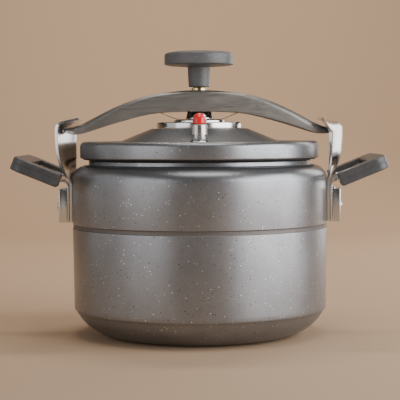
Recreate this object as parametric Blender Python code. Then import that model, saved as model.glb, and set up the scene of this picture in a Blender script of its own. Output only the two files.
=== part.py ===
"""Stovetop pressure cooker with a swing-over clamp bow, about 7 litres.

Metres, +Z up, origin at the middle of the flat base. +X points at the right handle,
-Y at the front, where the safety valve stands. Everything on the right side is modelled
once and turned half a turn about Z for the left side.
"""

import math

import bmesh
import bpy
from mathutils import Matrix, Vector

# ---------------------------------------------------------------- driving dimensions
GAP = 0.0003                 # clearance between two touching pieces

POT_RADIUS = 0.1206          # outside, at the shoulder
POT_BASE_RADIUS = 0.0790     # flat base, where the bottom corner starts
POT_CORNER = 0.0437          # bottom corner
POT_WALL = 0.0034
POT_FLOOR = 0.0040
SHOULDER_RADIUS = 0.0133
SHOULDER_Z = 0.1470
NECK_RADIUS = 0.1049
MOUTH_RADIUS = 0.1013
MOUTH_Z = 0.1654
GROOVE_Z = 0.1036            # middle of the shallow band round the wall
GROOVE_HALF = 0.0021
GROOVE_DEPTH = 0.0007

LID_RADIUS = 0.1130
LID_BOTTOM_Z = 0.1670
LID_RIM_Z = 0.1826
LID_TOP_Z = 0.1947
LID_TOP_RADIUS = 0.0455
LID_WALL = 0.0035
CONE_FOOT_RADIUS = 0.0870
CONE_FOOT_Z = 0.1778
VALLEY_Z = 0.1752
GASKET_ROOF_Z = 0.1750

CAP_RADIUS = 0.0405          # steel pressure cap on the middle of the lid
CAP_RIM_Z = 0.2005
CAP_STEP_RADIUS = 0.0245
CAP_STEP_Z = 0.2026

BOW_REST_TURN = math.radians(4.0)   # the bow stops a little short of square
BOW_TIP = 0.1282
BOW_END_HALF = 0.0125        # half width at the rounded ends
BOW_MID_HALF = 0.0160        # half width at the screw
BOW_PLATE = 0.0020
LEAF_PLATE = 0.0006
BUSH_RADIUS = 0.0070
SCREW_RADIUS = 0.0050

KNOB_RADIUS = 0.0328
KNOB_TOP_Z = 0.2676
KNOB_BOTTOM_Z = 0.2340

STRAP_HALF = 0.0185          # hook strap, half width
STRAP_PLATE = 0.0026
STRAP_WALL_RADIUS = 0.1222   # middle of the strap where it lies on the pot
STRAP_SPLAY = {"right": 0.0030, "left": 0.0}    # the right strap stands a little further out
BRACKET_HALF = 0.0190
BRACKET_PLATE = 0.0020
BRACKET_WALL_RADIUS = 0.1248
SIDE_BOTTOM_Z = 0.1070       # lower edge of strap, bracket and cover
COVER_TOP_Z = 0.1380
COVER_RADIUS = 0.1336
COVER_PLATE = 0.0015

HANDLE_TILT = math.radians(22.0)
HANDLE_START = (0.1320, 0.1491)     # x and z where the tilted plane starts
HANDLE_HALF = 0.0560         # half width along Y
HANDLE_LENGTH = 0.0430
HANDLE_TAIL = 0.0041         # how far the arms reach back towards the pot
HANDLE_UNDER = 0.0068
HANDLE_OVER = 0.0056
HANDLE_CORNER = 0.0110
FINGER_HALF = 0.0380
FINGER_LENGTH = 0.0280
FRAME_PLATE = 0.0024

VALVE_OFFSET = 0.0780        # both valves stand this far from the middle of the lid
BOSS_Z = 0.1804

RIVET_SHANK = 0.0023
RIVET_ANGLE = math.radians(4.4)
RIVET_Z = 0.1140
COVER_RIVET_Z = 0.1215

ROUND = 44                   # sides of the pot and the lid


# ---------------------------------------------------------------- helpers
def clear_scene():
    for thing in list(bpy.data.objects):
        bpy.data.objects.remove(thing, do_unlink=True)


def material(name, colour, roughness, metallic):
    made = bpy.data.materials.new(name)
    made.use_nodes = True
    shader = made.node_tree.nodes["Principled BSDF"]
    shader.inputs["Base Color"].default_value = (*colour, 1.0)
    shader.inputs["Roughness"].default_value = roughness
    shader.inputs["Metallic"].default_value = metallic
    made.diffuse_color = (*colour, 1.0)
    return made


def empty(name, location=(0.0, 0.0, 0.0), turn=0.0, parent=None):
    made = bpy.data.objects.new(name, None)
    made.location = location
    made.rotation_euler = (0.0, 0.0, turn)
    made.parent = parent
    bpy.context.scene.collection.objects.link(made)
    return made


def add_object(name, mesh, parent=None, finish=None):
    made = bpy.data.objects.new(name, mesh)
    bpy.context.scene.collection.objects.link(made)
    made.parent = parent
    if finish:
        mesh.materials.clear()
        mesh.materials.append(finish)
    return made


def to_mesh(bm, name, sharp_angle=35.0):
    bmesh.ops.recalc_face_normals(bm, faces=bm.faces)
    mesh = bpy.data.meshes.new(name)
    bm.to_mesh(mesh)
    bm.free()
    mesh.shade_smooth()
    mesh.set_sharp_from_angle(angle=math.radians(sharp_angle))
    return mesh


def arc(centre, radius, start, end, steps):
    """Points on a circle in a (radius, height) plane, angles in degrees."""
    points = []
    for step in range(steps + 1):
        angle = math.radians(start + (end - start) * step / steps)
        points.append((centre[0] + radius * math.cos(angle),
                       centre[1] + radius * math.sin(angle)))
    return points


def turned(name, profile, sides):
    """Turn (radius, height) points about Z. A profile off the axis is a closed ring."""
    bm = bmesh.new()
    verts = [bm.verts.new((radius, 0.0, height)) for radius, height in profile]
    for first, second in zip(verts, verts[1:]):
        bm.edges.new((first, second))
    if profile[0][0] > 0.0 and profile[-1][0] > 0.0:
        bm.edges.new((verts[-1], verts[0]))
    bmesh.ops.spin(bm, geom=bm.verts[:] + bm.edges[:], cent=(0.0, 0.0, 0.0),
                   axis=(0.0, 0.0, 1.0), angle=math.tau, steps=sides)
    bmesh.ops.remove_doubles(bm, verts=bm.verts, dist=1e-6)
    return to_mesh(bm, name)


def extruded(name, outline, low, high):
    """A prism over a closed (x, y) outline, from height low to height high."""
    bm = bmesh.new()
    face = bm.faces.new([bm.verts.new((x, y, low)) for x, y in outline])
    grown = bmesh.ops.extrude_face_region(bm, geom=[face])
    top = [item for item in grown["geom"] if isinstance(item, bmesh.types.BMVert)]
    bmesh.ops.translate(bm, verts=top, vec=(0.0, 0.0, high - low))
    return to_mesh(bm, name)


def lofted(name, rings):
    """Skin over rings of equal length, closed by a face at either end."""
    bm = bmesh.new()
    loops = [[bm.verts.new(point) for point in ring] for ring in rings]
    count = len(loops[0])
    for lower, upper in zip(loops, loops[1:]):
        for step in range(count):
            after = (step + 1) % count
            bm.faces.new((lower[step], lower[after], upper[after], upper[step]))
    bm.faces.new(loops[0])
    bm.faces.new(loops[-1])
    return to_mesh(bm, name)


def sheet(name, rows, half_width, wall_radius, columns):
    """A ruled strip across Y. Each row gives x and z at either edge and how far it wraps."""
    bm = bmesh.new()
    edge_depth = math.sqrt(wall_radius ** 2 - half_width ** 2)
    grid = []
    for closed_x, closed_z, open_x, open_z, wrap in rows:
        line = []
        for column in range(columns + 1):
            share = column / columns
            y = half_width * (2.0 * share - 1.0)
            bulge = wrap * (math.sqrt(wall_radius ** 2 - y ** 2) - edge_depth)
            line.append(bm.verts.new((closed_x + (open_x - closed_x) * share + bulge, y,
                                      closed_z + (open_z - closed_z) * share)))
        grid.append(line)
    for lower, upper in zip(grid, grid[1:]):
        for step in range(columns):
            bm.faces.new((lower[step], lower[step + 1], upper[step + 1], upper[step]))
    return to_mesh(bm, name)


def thicken(piece, thickness):
    modifier = piece.modifiers.new("thickness", "SOLIDIFY")
    modifier.thickness = thickness
    modifier.offset = 0.0
    modifier.use_even_offset = True


def bevel(piece, width, segments=2, angle=50.0):
    modifier = piece.modifiers.new("edges", "BEVEL")
    modifier.width = width
    modifier.segments = segments
    modifier.limit_method = "ANGLE"
    modifier.angle_limit = math.radians(angle)


def boolean(piece, tool, operation="DIFFERENCE"):
    modifier = piece.modifiers.new(operation.lower(), "BOOLEAN")
    modifier.operation = operation
    modifier.object = tool
    modifier.solver = "EXACT"
    tool.hide_render = True
    tool.display_type = "WIRE"


def placed(mesh, matrix):
    mesh.transform(matrix)
    return mesh


def joined(name, meshes):
    """Several meshes as one, for a cutter made of separate bodies."""
    bm = bmesh.new()
    for part in meshes:
        bm.from_mesh(part)
    return to_mesh(bm, name)


def between(points, x):
    """Smooth height at x through (x, height) points, by cubic Hermite pieces."""
    last = len(points) - 1
    for index in range(last):
        x0, z0 = points[index]
        x1, z1 = points[index + 1]
        if x <= x1 or index == last - 1:
            break
    before = points[max(index - 1, 0)]
    after = points[min(index + 2, last)]
    slope0 = (z1 - before[1]) / (x1 - before[0]) if index else 0.0
    slope1 = (after[1] - z0) / (after[0] - x0)
    width = x1 - x0
    t = min(max((x - x0) / width, 0.0), 1.0)
    return ((2 * t ** 3 - 3 * t ** 2 + 1) * z0 + (t ** 3 - 2 * t ** 2 + t) * width * slope0
            + (3 * t ** 2 - 2 * t ** 3) * z1 + (t ** 3 - t ** 2) * width * slope1)


# ---------------------------------------------------------------- materials
def make_materials():
    return {
        "stone_coat": material("stone_coat", (0.085, 0.088, 0.095), 0.42, 0.55),
        "brushed_steel": material("brushed_steel", (0.42, 0.40, 0.37), 0.32, 1.0),
        "polished_steel": material("polished_steel", (0.66, 0.65, 0.64), 0.14, 1.0),
        "dark_plastic": material("dark_plastic", (0.045, 0.046, 0.048), 0.48, 0.0),
        "brass": material("brass", (0.62, 0.50, 0.27), 0.28, 1.0),
        "red_silicone": material("red_silicone", (0.70, 0.02, 0.02), 0.35, 0.0),
        "black_rubber": material("black_rubber", (0.020, 0.020, 0.021), 0.75, 0.0),
    }


# ---------------------------------------------------------------- pot
def rivet_axis(angle, height):
    """Turns +Z onto the outward radius at this angle and height."""
    return (Matrix.Rotation(angle, 4, "Z") @ Matrix.Translation((0.0, 0.0, height))
            @ Matrix.Rotation(math.radians(90.0), 4, "Y"))


RIVETS = (("lower", -RIVET_ANGLE, RIVET_Z), ("upper", RIVET_ANGLE, RIVET_Z),
          ("cover", 0.0, COVER_RIVET_Z))


def rivet_cutter(name, parent):
    bodies = []
    hole = RIVET_SHANK + GAP
    for label, angle, height in RIVETS:
        far = 0.1380 if label == "cover" else 0.1285
        mesh = turned(f"{name}_{label}", ((0.0, far), (hole, far), (hole, 0.1100), (0.0, 0.1100)),
                      10)
        bodies.append(placed(mesh, rivet_axis(angle, height)))
    return add_object(name, joined(name, bodies), parent)


def pot_profile():
    corner = (POT_BASE_RADIUS, POT_CORNER)
    wall = POT_RADIUS - 0.0010
    outer = [(POT_RADIUS - 0.0003, SHOULDER_Z)]
    outer += [(POT_RADIUS, GROOVE_Z + GROOVE_HALF),
              (POT_RADIUS - GROOVE_DEPTH, GROOVE_Z + GROOVE_HALF - 0.0008),
              (POT_RADIUS - GROOVE_DEPTH, GROOVE_Z - GROOVE_HALF + 0.0008),
              (POT_RADIUS - 0.0001, GROOVE_Z - GROOVE_HALF)]
    outer += [(wall, 0.0300), (wall - 0.0008, 0.0248)]
    outer += arc(corner, POT_CORNER, -27.0, -90.0, 6)
    neck = arc((POT_RADIUS - SHOULDER_RADIUS, SHOULDER_Z), SHOULDER_RADIUS, 90.0, 15.0, 4)
    lip = [(MOUTH_RADIUS + 0.0006, MOUTH_Z), (NECK_RADIUS - 0.0006, MOUTH_Z),
           (NECK_RADIUS, MOUTH_Z - 0.0006), (NECK_RADIUS, 0.1612)]
    inner_shoulder = SHOULDER_RADIUS - POT_WALL
    inner = [(0.0, POT_FLOOR)]
    inner_wall = POT_RADIUS - POT_WALL
    inner_corner = POT_CORNER - POT_FLOOR
    inner += arc((inner_wall - inner_corner, POT_CORNER), inner_corner, -90.0, 0.0, 6)
    inner += [(inner_wall, SHOULDER_Z)]
    inner += arc((POT_RADIUS - SHOULDER_RADIUS, SHOULDER_Z), inner_shoulder, 45.0, 90.0, 1)
    inner += [(MOUTH_RADIUS + 0.0012, SHOULDER_Z + inner_shoulder),
              (MOUTH_RADIUS, SHOULDER_Z + inner_shoulder + 0.0012),
              (MOUTH_RADIUS, MOUTH_Z - 0.0006)]
    return inner + lip + neck + outer + [(0.0, 0.0)]


def make_pot(finish, sides):
    pot = add_object("pot_body", turned("pot_body", pot_profile(), ROUND), None, finish)
    for side in sides.values():
        boolean(pot, side["cutter"])
    return pot


# ---------------------------------------------------------------- hooks, brackets, handles
def strap_rows(splay):
    """Edge lines of the hook strap: closed edge towards the pot, open edge away from it."""
    wall = math.sqrt(STRAP_WALL_RADIUS ** 2 - STRAP_HALF ** 2)
    rows = [(wall, SIDE_BOTTOM_Z, wall, SIDE_BOTTOM_Z, 1.0),
            (wall, 0.1400, wall, 0.1400, 1.0)]
    upright = ((wall, 0.1436, 0.1210, 0.1436, 0.9, 0.0), (wall, 0.1476, 0.1230, 0.1476, 0.8, 0.1),
               (0.1203, 0.1514, 0.1254, 0.1514, 0.8, 0.4), (0.1199, 0.1590, 0.1294, 0.1590, 0.9, 0.8),
               (0.1197, 0.1685, 0.1321, 0.1685, 1.0, 1.0), (0.1197, 0.1790, 0.1335, 0.1790, 1.0, 1.0),
               (0.1197, 0.1895, 0.1339, 0.1940, 1.0, 1.0), (0.1196, 0.1917, 0.1334, 0.1968, 0.9, 0.9),
               (0.1190, 0.1943, 0.1313, 0.1992, 0.7, 0.7), (0.1174, 0.1980, 0.1257, 0.2012, 0.4, 0.4),
               (0.1156, 0.2017, 0.1178, 0.2028, 0.1, 0.1), (0.1145, 0.2037, 0.1130, 0.2039, 0.0, 0.0))
    for closed_x, closed_z, open_x, open_z, wrap, share in upright:
        out = splay * share
        rows.append((closed_x + out, closed_z, open_x + out, open_z, wrap))
    return rows


def bracket_rows():
    """Flat against the wall, then bent outwards into the tilted plane of the handle."""
    radius = 0.0080
    wall = math.sqrt(BRACKET_WALL_RADIUS ** 2 - BRACKET_HALF ** 2)
    middle = BRACKET_WALL_RADIUS
    slope = math.tan(HANDLE_TILT)
    bend_end_x = middle + radius - radius * math.sin(HANDLE_TILT)
    bend_end_z = HANDLE_START[1] + (bend_end_x - HANDLE_START[0]) * slope
    bend_z = bend_end_z - radius * math.cos(HANDLE_TILT)
    rows = [(wall, SIDE_BOTTOM_Z, wall, SIDE_BOTTOM_Z, 1.0)]
    steps = 5
    for step in range(steps + 1):
        share = step / steps
        angle = math.pi - share * (math.pi / 2 - HANDLE_TILT)
        x = middle + radius + radius * math.cos(angle) - (middle - wall) * (1.0 - share)
        z = bend_z + radius * math.sin(angle)
        rows.append((x, z, x, z, 1.0 - share))
    end_x = HANDLE_START[0] - 0.0015
    end_z = HANDLE_START[1] - 0.0015 * slope
    rows.append((end_x, end_z, end_x, end_z, 0.0))
    return rows


def tilted():
    """The handle's own plane: x outwards along the slope, z up from its face."""
    return (Matrix.Translation((HANDLE_START[0], 0.0, HANDLE_START[1]))
            @ Matrix.Rotation(-HANDLE_TILT, 4, "Y"))


def frame_mesh(grow, window):
    """The steel loop inside the grip, or with grow the slot that takes it."""
    tail, reach, half = -0.0060 - 6.0 * grow, 0.0360 + grow, 0.0480 + grow
    thick = FRAME_PLATE / 2 + grow
    outline = [(tail, -half), (reach, -half), (reach, half), (tail, half)]
    mesh = extruded("handle_frame", outline, -thick, thick)
    if not window:
        return placed(mesh, tilted())
    bm = bmesh.new()
    near, far, side = 0.0010, FINGER_LENGTH - 0.0008, FINGER_HALF - 0.0008
    hole = [(near, -side), (far, -side), (far, side), (near, side)]
    rings = [[bm.verts.new((x, y, z)) for x, y in shape]
             for shape, z in ((outline, -thick), (outline, thick), (hole, thick), (hole, -thick))]
    for lower, upper in zip(rings, rings[1:] + rings[:1]):
        for step in range(4):
            after = (step + 1) % 4
            bm.faces.new((lower[step], lower[after], upper[after], upper[step]))
    return placed(to_mesh(bm, "handle_frame"), tilted())


def grip_outline():
    corner, inner = HANDLE_CORNER, 0.0040
    half, length, tail = HANDLE_HALF, HANDLE_LENGTH, -HANDLE_TAIL
    points = [(tail, half)]
    points += reversed(arc((length - corner, half - corner), corner, 0.0, 90.0, 5))
    points += reversed(arc((length - corner, corner - half), corner, -90.0, 0.0, 5))
    points += [(tail, -half), (tail, -FINGER_HALF)]
    points += arc((FINGER_LENGTH - inner, inner - FINGER_HALF), inner, -90.0, 0.0, 3)
    points += arc((FINGER_LENGTH - inner, FINGER_HALF - inner), inner, 0.0, 90.0, 3)
    points += [(tail, FINGER_HALF)]
    return points


def cover_outline():
    """A channel in plan, concentric with the pot, open towards the bracket."""
    back = BRACKET_WALL_RADIUS + BRACKET_PLATE / 2 + GAP
    half_angle = math.degrees(math.asin(BRACKET_HALF / BRACKET_WALL_RADIUS))
    wall_angle = math.degrees(COVER_PLATE / COVER_RADIUS)
    centre = (0.0, 0.0)
    points = arc(centre, back, -half_angle, -half_angle, 1)[:1]
    points += arc(centre, COVER_RADIUS - 0.0012, -half_angle, -half_angle, 1)[:1]
    points += arc(centre, COVER_RADIUS, -half_angle + 0.5, half_angle - 0.5, 6)
    points += arc(centre, COVER_RADIUS - 0.0012, half_angle, half_angle, 1)[:1]
    points += arc(centre, back, half_angle, half_angle, 1)[:1]
    points += arc(centre, back, half_angle - wall_angle, half_angle - wall_angle, 1)[:1]
    points += arc(centre, COVER_RADIUS - COVER_PLATE, half_angle - wall_angle,
                  wall_angle - half_angle, 6)
    points += arc(centre, back, wall_angle - half_angle, wall_angle - half_angle, 1)[:1]
    return points


def rivet_profile(outer_face, head):
    inner_face = (POT_RADIUS - POT_WALL) * math.cos(math.pi / ROUND) - GAP
    dome = 0.0019
    return [(0.0, outer_face + GAP + dome), (head * 0.6, outer_face + GAP + dome * 0.8),
            (head, outer_face + GAP + dome * 0.25), (head, outer_face + GAP),
            (RIVET_SHANK, outer_face + GAP), (RIVET_SHANK, inner_face),
            (0.0042, inner_face), (0.0042, inner_face - 0.0006),
            (0.0, inner_face - 0.0018)]


def make_side(side, side_empty, finish):
    cutter = rivet_cutter(f"{side}_rivet_cutter", side_empty)
    strap = add_object(f"{side}_hook_strap",
                       sheet("hook_strap", strap_rows(STRAP_SPLAY[side]), STRAP_HALF,
                             STRAP_WALL_RADIUS, 4),
                       side_empty, finish["polished_steel"])
    thicken(strap, STRAP_PLATE)
    boolean(strap, cutter)

    bracket = add_object(f"{side}_handle_bracket",
                         sheet("handle_bracket", bracket_rows(), BRACKET_HALF,
                               BRACKET_WALL_RADIUS, 4),
                         side_empty, finish["polished_steel"])
    thicken(bracket, BRACKET_PLATE)
    frame = add_object(f"{side}_frame_tool", frame_mesh(0.0, True), side_empty)
    boolean(bracket, frame, "UNION")
    boolean(bracket, cutter)

    slot = add_object(f"{side}_slot_cutter", frame_mesh(GAP, False), side_empty)
    grip_mesh = placed(extruded("handle_grip", grip_outline(), -HANDLE_UNDER, HANDLE_OVER),
                       tilted())
    grip = add_object(f"{side}_handle_grip", grip_mesh, side_empty, finish["dark_plastic"])
    bevel(grip, 0.0020, 1)
    boolean(grip, slot)

    cover = add_object(f"{side}_bracket_cover",
                       extruded("bracket_cover", cover_outline(), SIDE_BOTTOM_Z, COVER_TOP_Z),
                       side_empty, finish["polished_steel"])
    boolean(cover, cutter)

    bracket_face = BRACKET_WALL_RADIUS + BRACKET_PLATE / 2
    for label, angle, height in RIVETS:
        face = COVER_RADIUS if label == "cover" else bracket_face
        mesh = turned(f"{label}_rivet", rivet_profile(face, 0.0040), 10)
        add_object(f"{side}_{label}_rivet", placed(mesh, rivet_axis(angle, height)),
                   side_empty, finish["polished_steel"])
    return {"cutter": cutter}


# ---------------------------------------------------------------- lid
def lid_profile():
    slope = (LID_TOP_Z - CONE_FOOT_Z) / (CONE_FOOT_RADIUS - LID_TOP_RADIUS)
    drop = LID_WALL * math.hypot(1.0, slope)
    hole = 0.0063
    under_top = LID_TOP_Z - LID_WALL
    under_radius = LID_TOP_RADIUS - 0.0008
    corner = 0.0048
    top = [(hole, LID_TOP_Z), (LID_TOP_RADIUS - 0.0012, LID_TOP_Z),
           (LID_TOP_RADIUS + 0.0014, LID_TOP_Z - 0.0007)]
    top += [(CONE_FOOT_RADIUS - 0.0020, CONE_FOOT_Z + 0.0020 * slope),
            (CONE_FOOT_RADIUS + 0.0015, VALLEY_Z + 0.0014),
            (0.0915, VALLEY_Z), (0.0945, VALLEY_Z + 0.0006), (0.0985, VALLEY_Z + 0.0034)]
    top += [(0.1018, LID_RIM_Z - 0.0006), (0.1042, LID_RIM_Z)]
    top += arc((LID_RADIUS - corner, LID_RIM_Z - corner), corner, 90.0, 0.0, 3)
    skirt = [(LID_RADIUS, LID_BOTTOM_Z + 0.0020), (LID_RADIUS - 0.0006, LID_BOTTOM_Z + 0.0006),
             (LID_RADIUS - 0.0018, LID_BOTTOM_Z), (0.1106, LID_BOTTOM_Z)]
    under = [(0.1106, GASKET_ROOF_Z), (0.0972, GASKET_ROOF_Z), (0.0972, 0.1712),
             (0.0915, 0.1712), (CONE_FOOT_RADIUS, CONE_FOOT_Z - drop),
             (under_radius, CONE_FOOT_Z - drop + (CONE_FOOT_RADIUS - under_radius) * slope),
             (under_radius - 0.0030, under_top), (hole, under_top)]
    return top + skirt + under


def make_lid(finish, lid_axis):
    lid = add_object("lid_shell", turned("lid_shell", lid_profile(), ROUND), lid_axis,
                     finish["stone_coat"])
    bosses, seats = [], []
    for sign in (-1.0, 1.0):
        place = Matrix.Translation((0.0, sign * VALVE_OFFSET, 0.0))
        boss = ((0.0, BOSS_Z), (0.0100, BOSS_Z), (0.0100, 0.1740), (0.0, 0.1740))
        seat = ((0.0, 0.1900), (0.0091, 0.1900), (0.0091, BOSS_Z), (0.0041, BOSS_Z),
                (0.0041, 0.1700), (0.0, 0.1700))
        bosses.append(placed(turned("boss", boss, 16), place))
        seats.append(placed(turned("seat", seat, 16), place))
    boolean(lid, add_object("boss_tool", joined("boss_tool", bosses), lid_axis), "UNION")
    boolean(lid, add_object("seat_cutter", joined("seat_cutter", seats), lid_axis))

    ring_low, ring_high = MOUTH_Z + GAP, GASKET_ROOF_Z - GAP
    lip_outer = MOUTH_RADIUS - 0.0004
    gasket = [(0.0976, ring_high), (0.1102, ring_high), (0.1102, ring_low + 0.0008),
              (0.1092, ring_low), (lip_outer, ring_low), (lip_outer, 0.1608),
              (0.0988, 0.1608), (0.0976, ring_low + 0.0010)]
    add_object("lid_gasket", turned("lid_gasket", gasket, ROUND), lid_axis,
               finish["black_rubber"])

    head_z = LID_TOP_Z - LID_WALL - GAP
    cap = [(0.0, CAP_STEP_Z), (CAP_STEP_RADIUS - 0.0010, CAP_STEP_Z),
           (CAP_STEP_RADIUS, CAP_STEP_Z - 0.0008), (CAP_STEP_RADIUS, CAP_RIM_Z),
           (CAP_RADIUS - 0.0014, CAP_RIM_Z), (CAP_RADIUS, CAP_RIM_Z - 0.0012),
           (CAP_RADIUS, LID_TOP_Z + GAP), (0.0060, LID_TOP_Z + GAP), (0.0060, head_z),
           (0.0090, head_z), (0.0090, head_z - 0.0010), (0.0070, head_z - 0.0022),
           (0.0, head_z - 0.0022)]
    add_object("pressure_cap", turned("pressure_cap", cap, 32), lid_axis,
               finish["polished_steel"])


# ---------------------------------------------------------------- valves
def hexagon(flats):
    radius = flats / 2 / math.cos(math.pi / 6)
    return arc((0.0, 0.0), radius, 30.0, 330.0, 5)


def nut(name, flats, bore, low, high, parent, finish):
    """A hexagon with a round bore, as a ring of twelve-sided and six-sided walls."""
    sides = 12
    outer = hexagon(flats)
    rim = []
    for index, corner in enumerate(outer):
        after = outer[(index + 1) % 6]
        rim += [corner, ((corner[0] + after[0]) / 2, (corner[1] + after[1]) / 2)]
    hole = arc((0.0, 0.0), bore, 30.0, 30.0 + 360.0 * (sides - 1) / sides, sides - 1)
    bm = bmesh.new()
    rings = [[bm.verts.new((x, y, z)) for x, y in shape]
             for shape, z in ((rim, low), (rim, high), (hole, high), (hole, low))]
    for lower, upper in zip(rings, rings[1:] + rings[:1]):
        for step in range(sides):
            after = (step + 1) % sides
            bm.faces.new((lower[step], lower[after], upper[after], upper[step]))
    return add_object(name, to_mesh(bm, name), parent, finish)


def washer(name, outer, bore, low, high, parent, finish):
    profile = [(bore, high), (outer, high), (outer, low), (bore, low)]
    return add_object(name, turned(name, profile, 12), parent, finish)


def coil(name, radius, wire, low, high, turns, parent, finish):
    """A compression spring with its ends cut off square to the wire."""
    per_turn, sides = 8, 4
    total = int(turns * per_turn)
    rings = []
    for step in range(total + 1):
        angle = math.tau * step / per_turn
        height = low + wire + (high - low - 2.0 * wire) * step / total
        outward = Vector((math.cos(angle), math.sin(angle), 0.0))
        ring = []
        for side in range(sides):
            turn = math.tau * side / sides
            point = outward * (radius + wire * math.cos(turn))
            ring.append((point.x, point.y, height + wire * math.sin(turn)))
        rings.append(ring)
    return add_object(name, lofted(name, rings), parent, finish)


def make_safety_valve(finish, lid_axis, button_axis):
    stand = empty("safety_valve_stand", (0.0, -VALVE_OFFSET, 0.0), 0.0, lid_axis)
    steel = finish["polished_steel"]
    outer, bore = 0.0070, 0.0052
    low, high = 0.1838, 0.1981
    body = [(bore, high), (outer - 0.0006, high), (outer, high - 0.0008),
            (outer + 0.0002, low + 0.0050), (outer, low + 0.0010), (outer - 0.0010, low),
            (0.0038, low), (0.0038, 0.1690), (0.0016, 0.1690), (0.0016, 0.1866),
            (bore, 0.1866)]
    tube = add_object("safety_valve_body", turned("safety_valve_body", body, 16), stand, steel)
    ports = []
    for corner in range(2):
        port = turned("port", ((0.0, 0.0090), (0.0009, 0.0090), (0.0009, -0.0090),
                               (0.0, -0.0090)), 8)
        turn = math.radians(45.0 + 90.0 * corner)
        ports.append(placed(port, Matrix.Translation((0.0, 0.0, 0.1880))
                            @ Matrix.Rotation(turn, 4, "Z")
                            @ Matrix.Rotation(math.radians(90.0), 4, "Y")))
    boolean(tube, add_object("port_cutter", joined("port_cutter", ports), stand))
    nut("safety_valve_nut", 0.0116, 0.0042, BOSS_Z + GAP, low - GAP, stand, steel)
    washer("safety_valve_washer", 0.0076, 0.0042, 0.1724, 0.1737, stand,
           finish["black_rubber"])
    nut("safety_valve_locknut", 0.0130, 0.0042, 0.1699, 0.1721, stand, steel)
    washer("safety_valve_retainer", bore - GAP, 0.0018, 0.1962, 0.1976, stand, steel)
    coil("safety_valve_spring", 0.0034, 0.0004, 0.1894, 0.1959, 4.5, stand, steel)

    stem = [(0.0, 0.2030), (0.0014, 0.2030), (0.0014, 0.1890), (0.0045, 0.1890),
            (0.0045, 0.1878), (0.0024, 0.1869), (0.0, 0.1869)]
    add_object("safety_valve_stem", turned("safety_valve_stem", stem, 10), button_axis, steel)
    button = [(0.0, 0.2084)]
    button += [(0.0059 * math.sin(math.radians(turn)), 0.2010 + 0.0074 * math.cos(
        math.radians(turn))) for turn in (22.0, 45.0, 68.0, 90.0)]
    button += [(0.0059, 0.1992), (0.0054, 0.1984), (0.0017, 0.1984), (0.0017, 0.2033),
               (0.0, 0.2033)]
    add_object("safety_valve_button", turned("safety_valve_button", button, 16), button_axis,
               finish["red_silicone"])


def make_regulator(finish, lid_axis, weight_axis):
    stand = empty("regulator_stand", (0.0, VALVE_OFFSET, 0.0), 0.0, lid_axis)
    steel = finish["polished_steel"]
    pipe = [(0.0012, 0.1985), (0.0022, 0.1985), (0.0036, 0.1950), (0.0036, 0.1850),
            (0.0070, 0.1850), (0.0070, BOSS_Z + GAP), (0.0038, BOSS_Z + GAP),
            (0.0038, 0.1690), (0.0012, 0.1690)]
    add_object("steam_vent_pipe", turned("steam_vent_pipe", pipe, 12), stand, steel)
    washer("steam_vent_washer", 0.0076, 0.0042, 0.1724, 0.1737, stand, finish["black_rubber"])
    nut("steam_vent_locknut", 0.0130, 0.0042, 0.1699, 0.1721, stand, steel)
    weight = [(0.0, 0.2125), (0.0048, 0.2125), (0.0048, 0.2060), (0.0100, 0.2060),
              (0.0110, 0.2050), (0.0110, 0.1886), (0.0102, 0.1878), (0.0046, 0.1878),
              (0.0044, 0.1955), (0.0030, 0.1990), (0.0, 0.1990)]
    add_object("regulator_weight", turned("regulator_weight", weight, 16), weight_axis, steel)
    cap = [(0.0, 0.2160), (0.0070, 0.2154), (0.0104, 0.2136), (0.0112, 0.2112),
           (0.0108, 0.2063), (0.0051, 0.2063), (0.0051, 0.2128), (0.0, 0.2128)]
    add_object("regulator_cap", turned("regulator_cap", cap, 16), weight_axis,
               finish["dark_plastic"])


# ---------------------------------------------------------------- clamp bow and screw
BOW_TOP_LINE = ((0.0, 0.2306), (0.0380, 0.2277), (0.0600, 0.2225), (0.0800, 0.2148),
                (0.1000, 0.2048), (0.1110, 0.1991), (0.1180, 0.1962), (0.1282, 0.1946))
BOW_LOW_LINE = ((0.0, 0.2106), (0.0300, 0.2100), (0.0500, 0.2076), (0.0760, 0.2009),
                (0.0950, 0.1951), (0.1080, 0.1909), (0.1180, 0.1893), (0.1282, 0.1915))


def bow_half_width(x, inset):
    centre = BOW_TIP - BOW_END_HALF
    full = BOW_END_HALF + (BOW_MID_HALF - BOW_END_HALF) * (1.0 - min(x / centre, 1.0) ** 2)
    if x > centre:
        reach = BOW_END_HALF - inset
        return math.sqrt(max(reach ** 2 - (x - centre) ** 2, 0.0004 ** 2))
    return full - inset


def bow_stations(inset):
    """Places along half the bow, closer together round the end."""
    centre = BOW_TIP - BOW_END_HALF
    reach = BOW_END_HALF - inset
    straight = [centre * step / 8 for step in range(8)]
    turn = [centre + reach * math.sin(math.radians(angle)) for angle in (0, 32, 60, 88)]
    return straight + turn


def bow_section(x, inset, below):
    """An arch-shaped ring across the bow, its top corners rounded more towards the ends."""
    side = -1.0 if x < 0.0 else 1.0
    along = abs(x)
    half = bow_half_width(along, inset)
    top = between(BOW_TOP_LINE, along) - inset
    low = between(BOW_LOW_LINE, along) - below
    corner = min(0.0035 + 0.0045 * (along / BOW_TIP) ** 2 - inset * 0.5, half * 0.9,
                 (top - low) * 0.8)
    right = arc((half - corner, top - corner), corner, 0.0, 90.0, 3)
    outline = [(half, low)] + right + [(-y, z) for y, z in reversed(right)] + [(-half, low)]
    return [(side * along, y, z) for y, z in outline]


def bow_solid(name, inset, below):
    places = bow_stations(inset)
    line = [-x for x in reversed(places)] + places[1:]
    return lofted(name, [bow_section(x, inset, below) for x in line])


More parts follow.
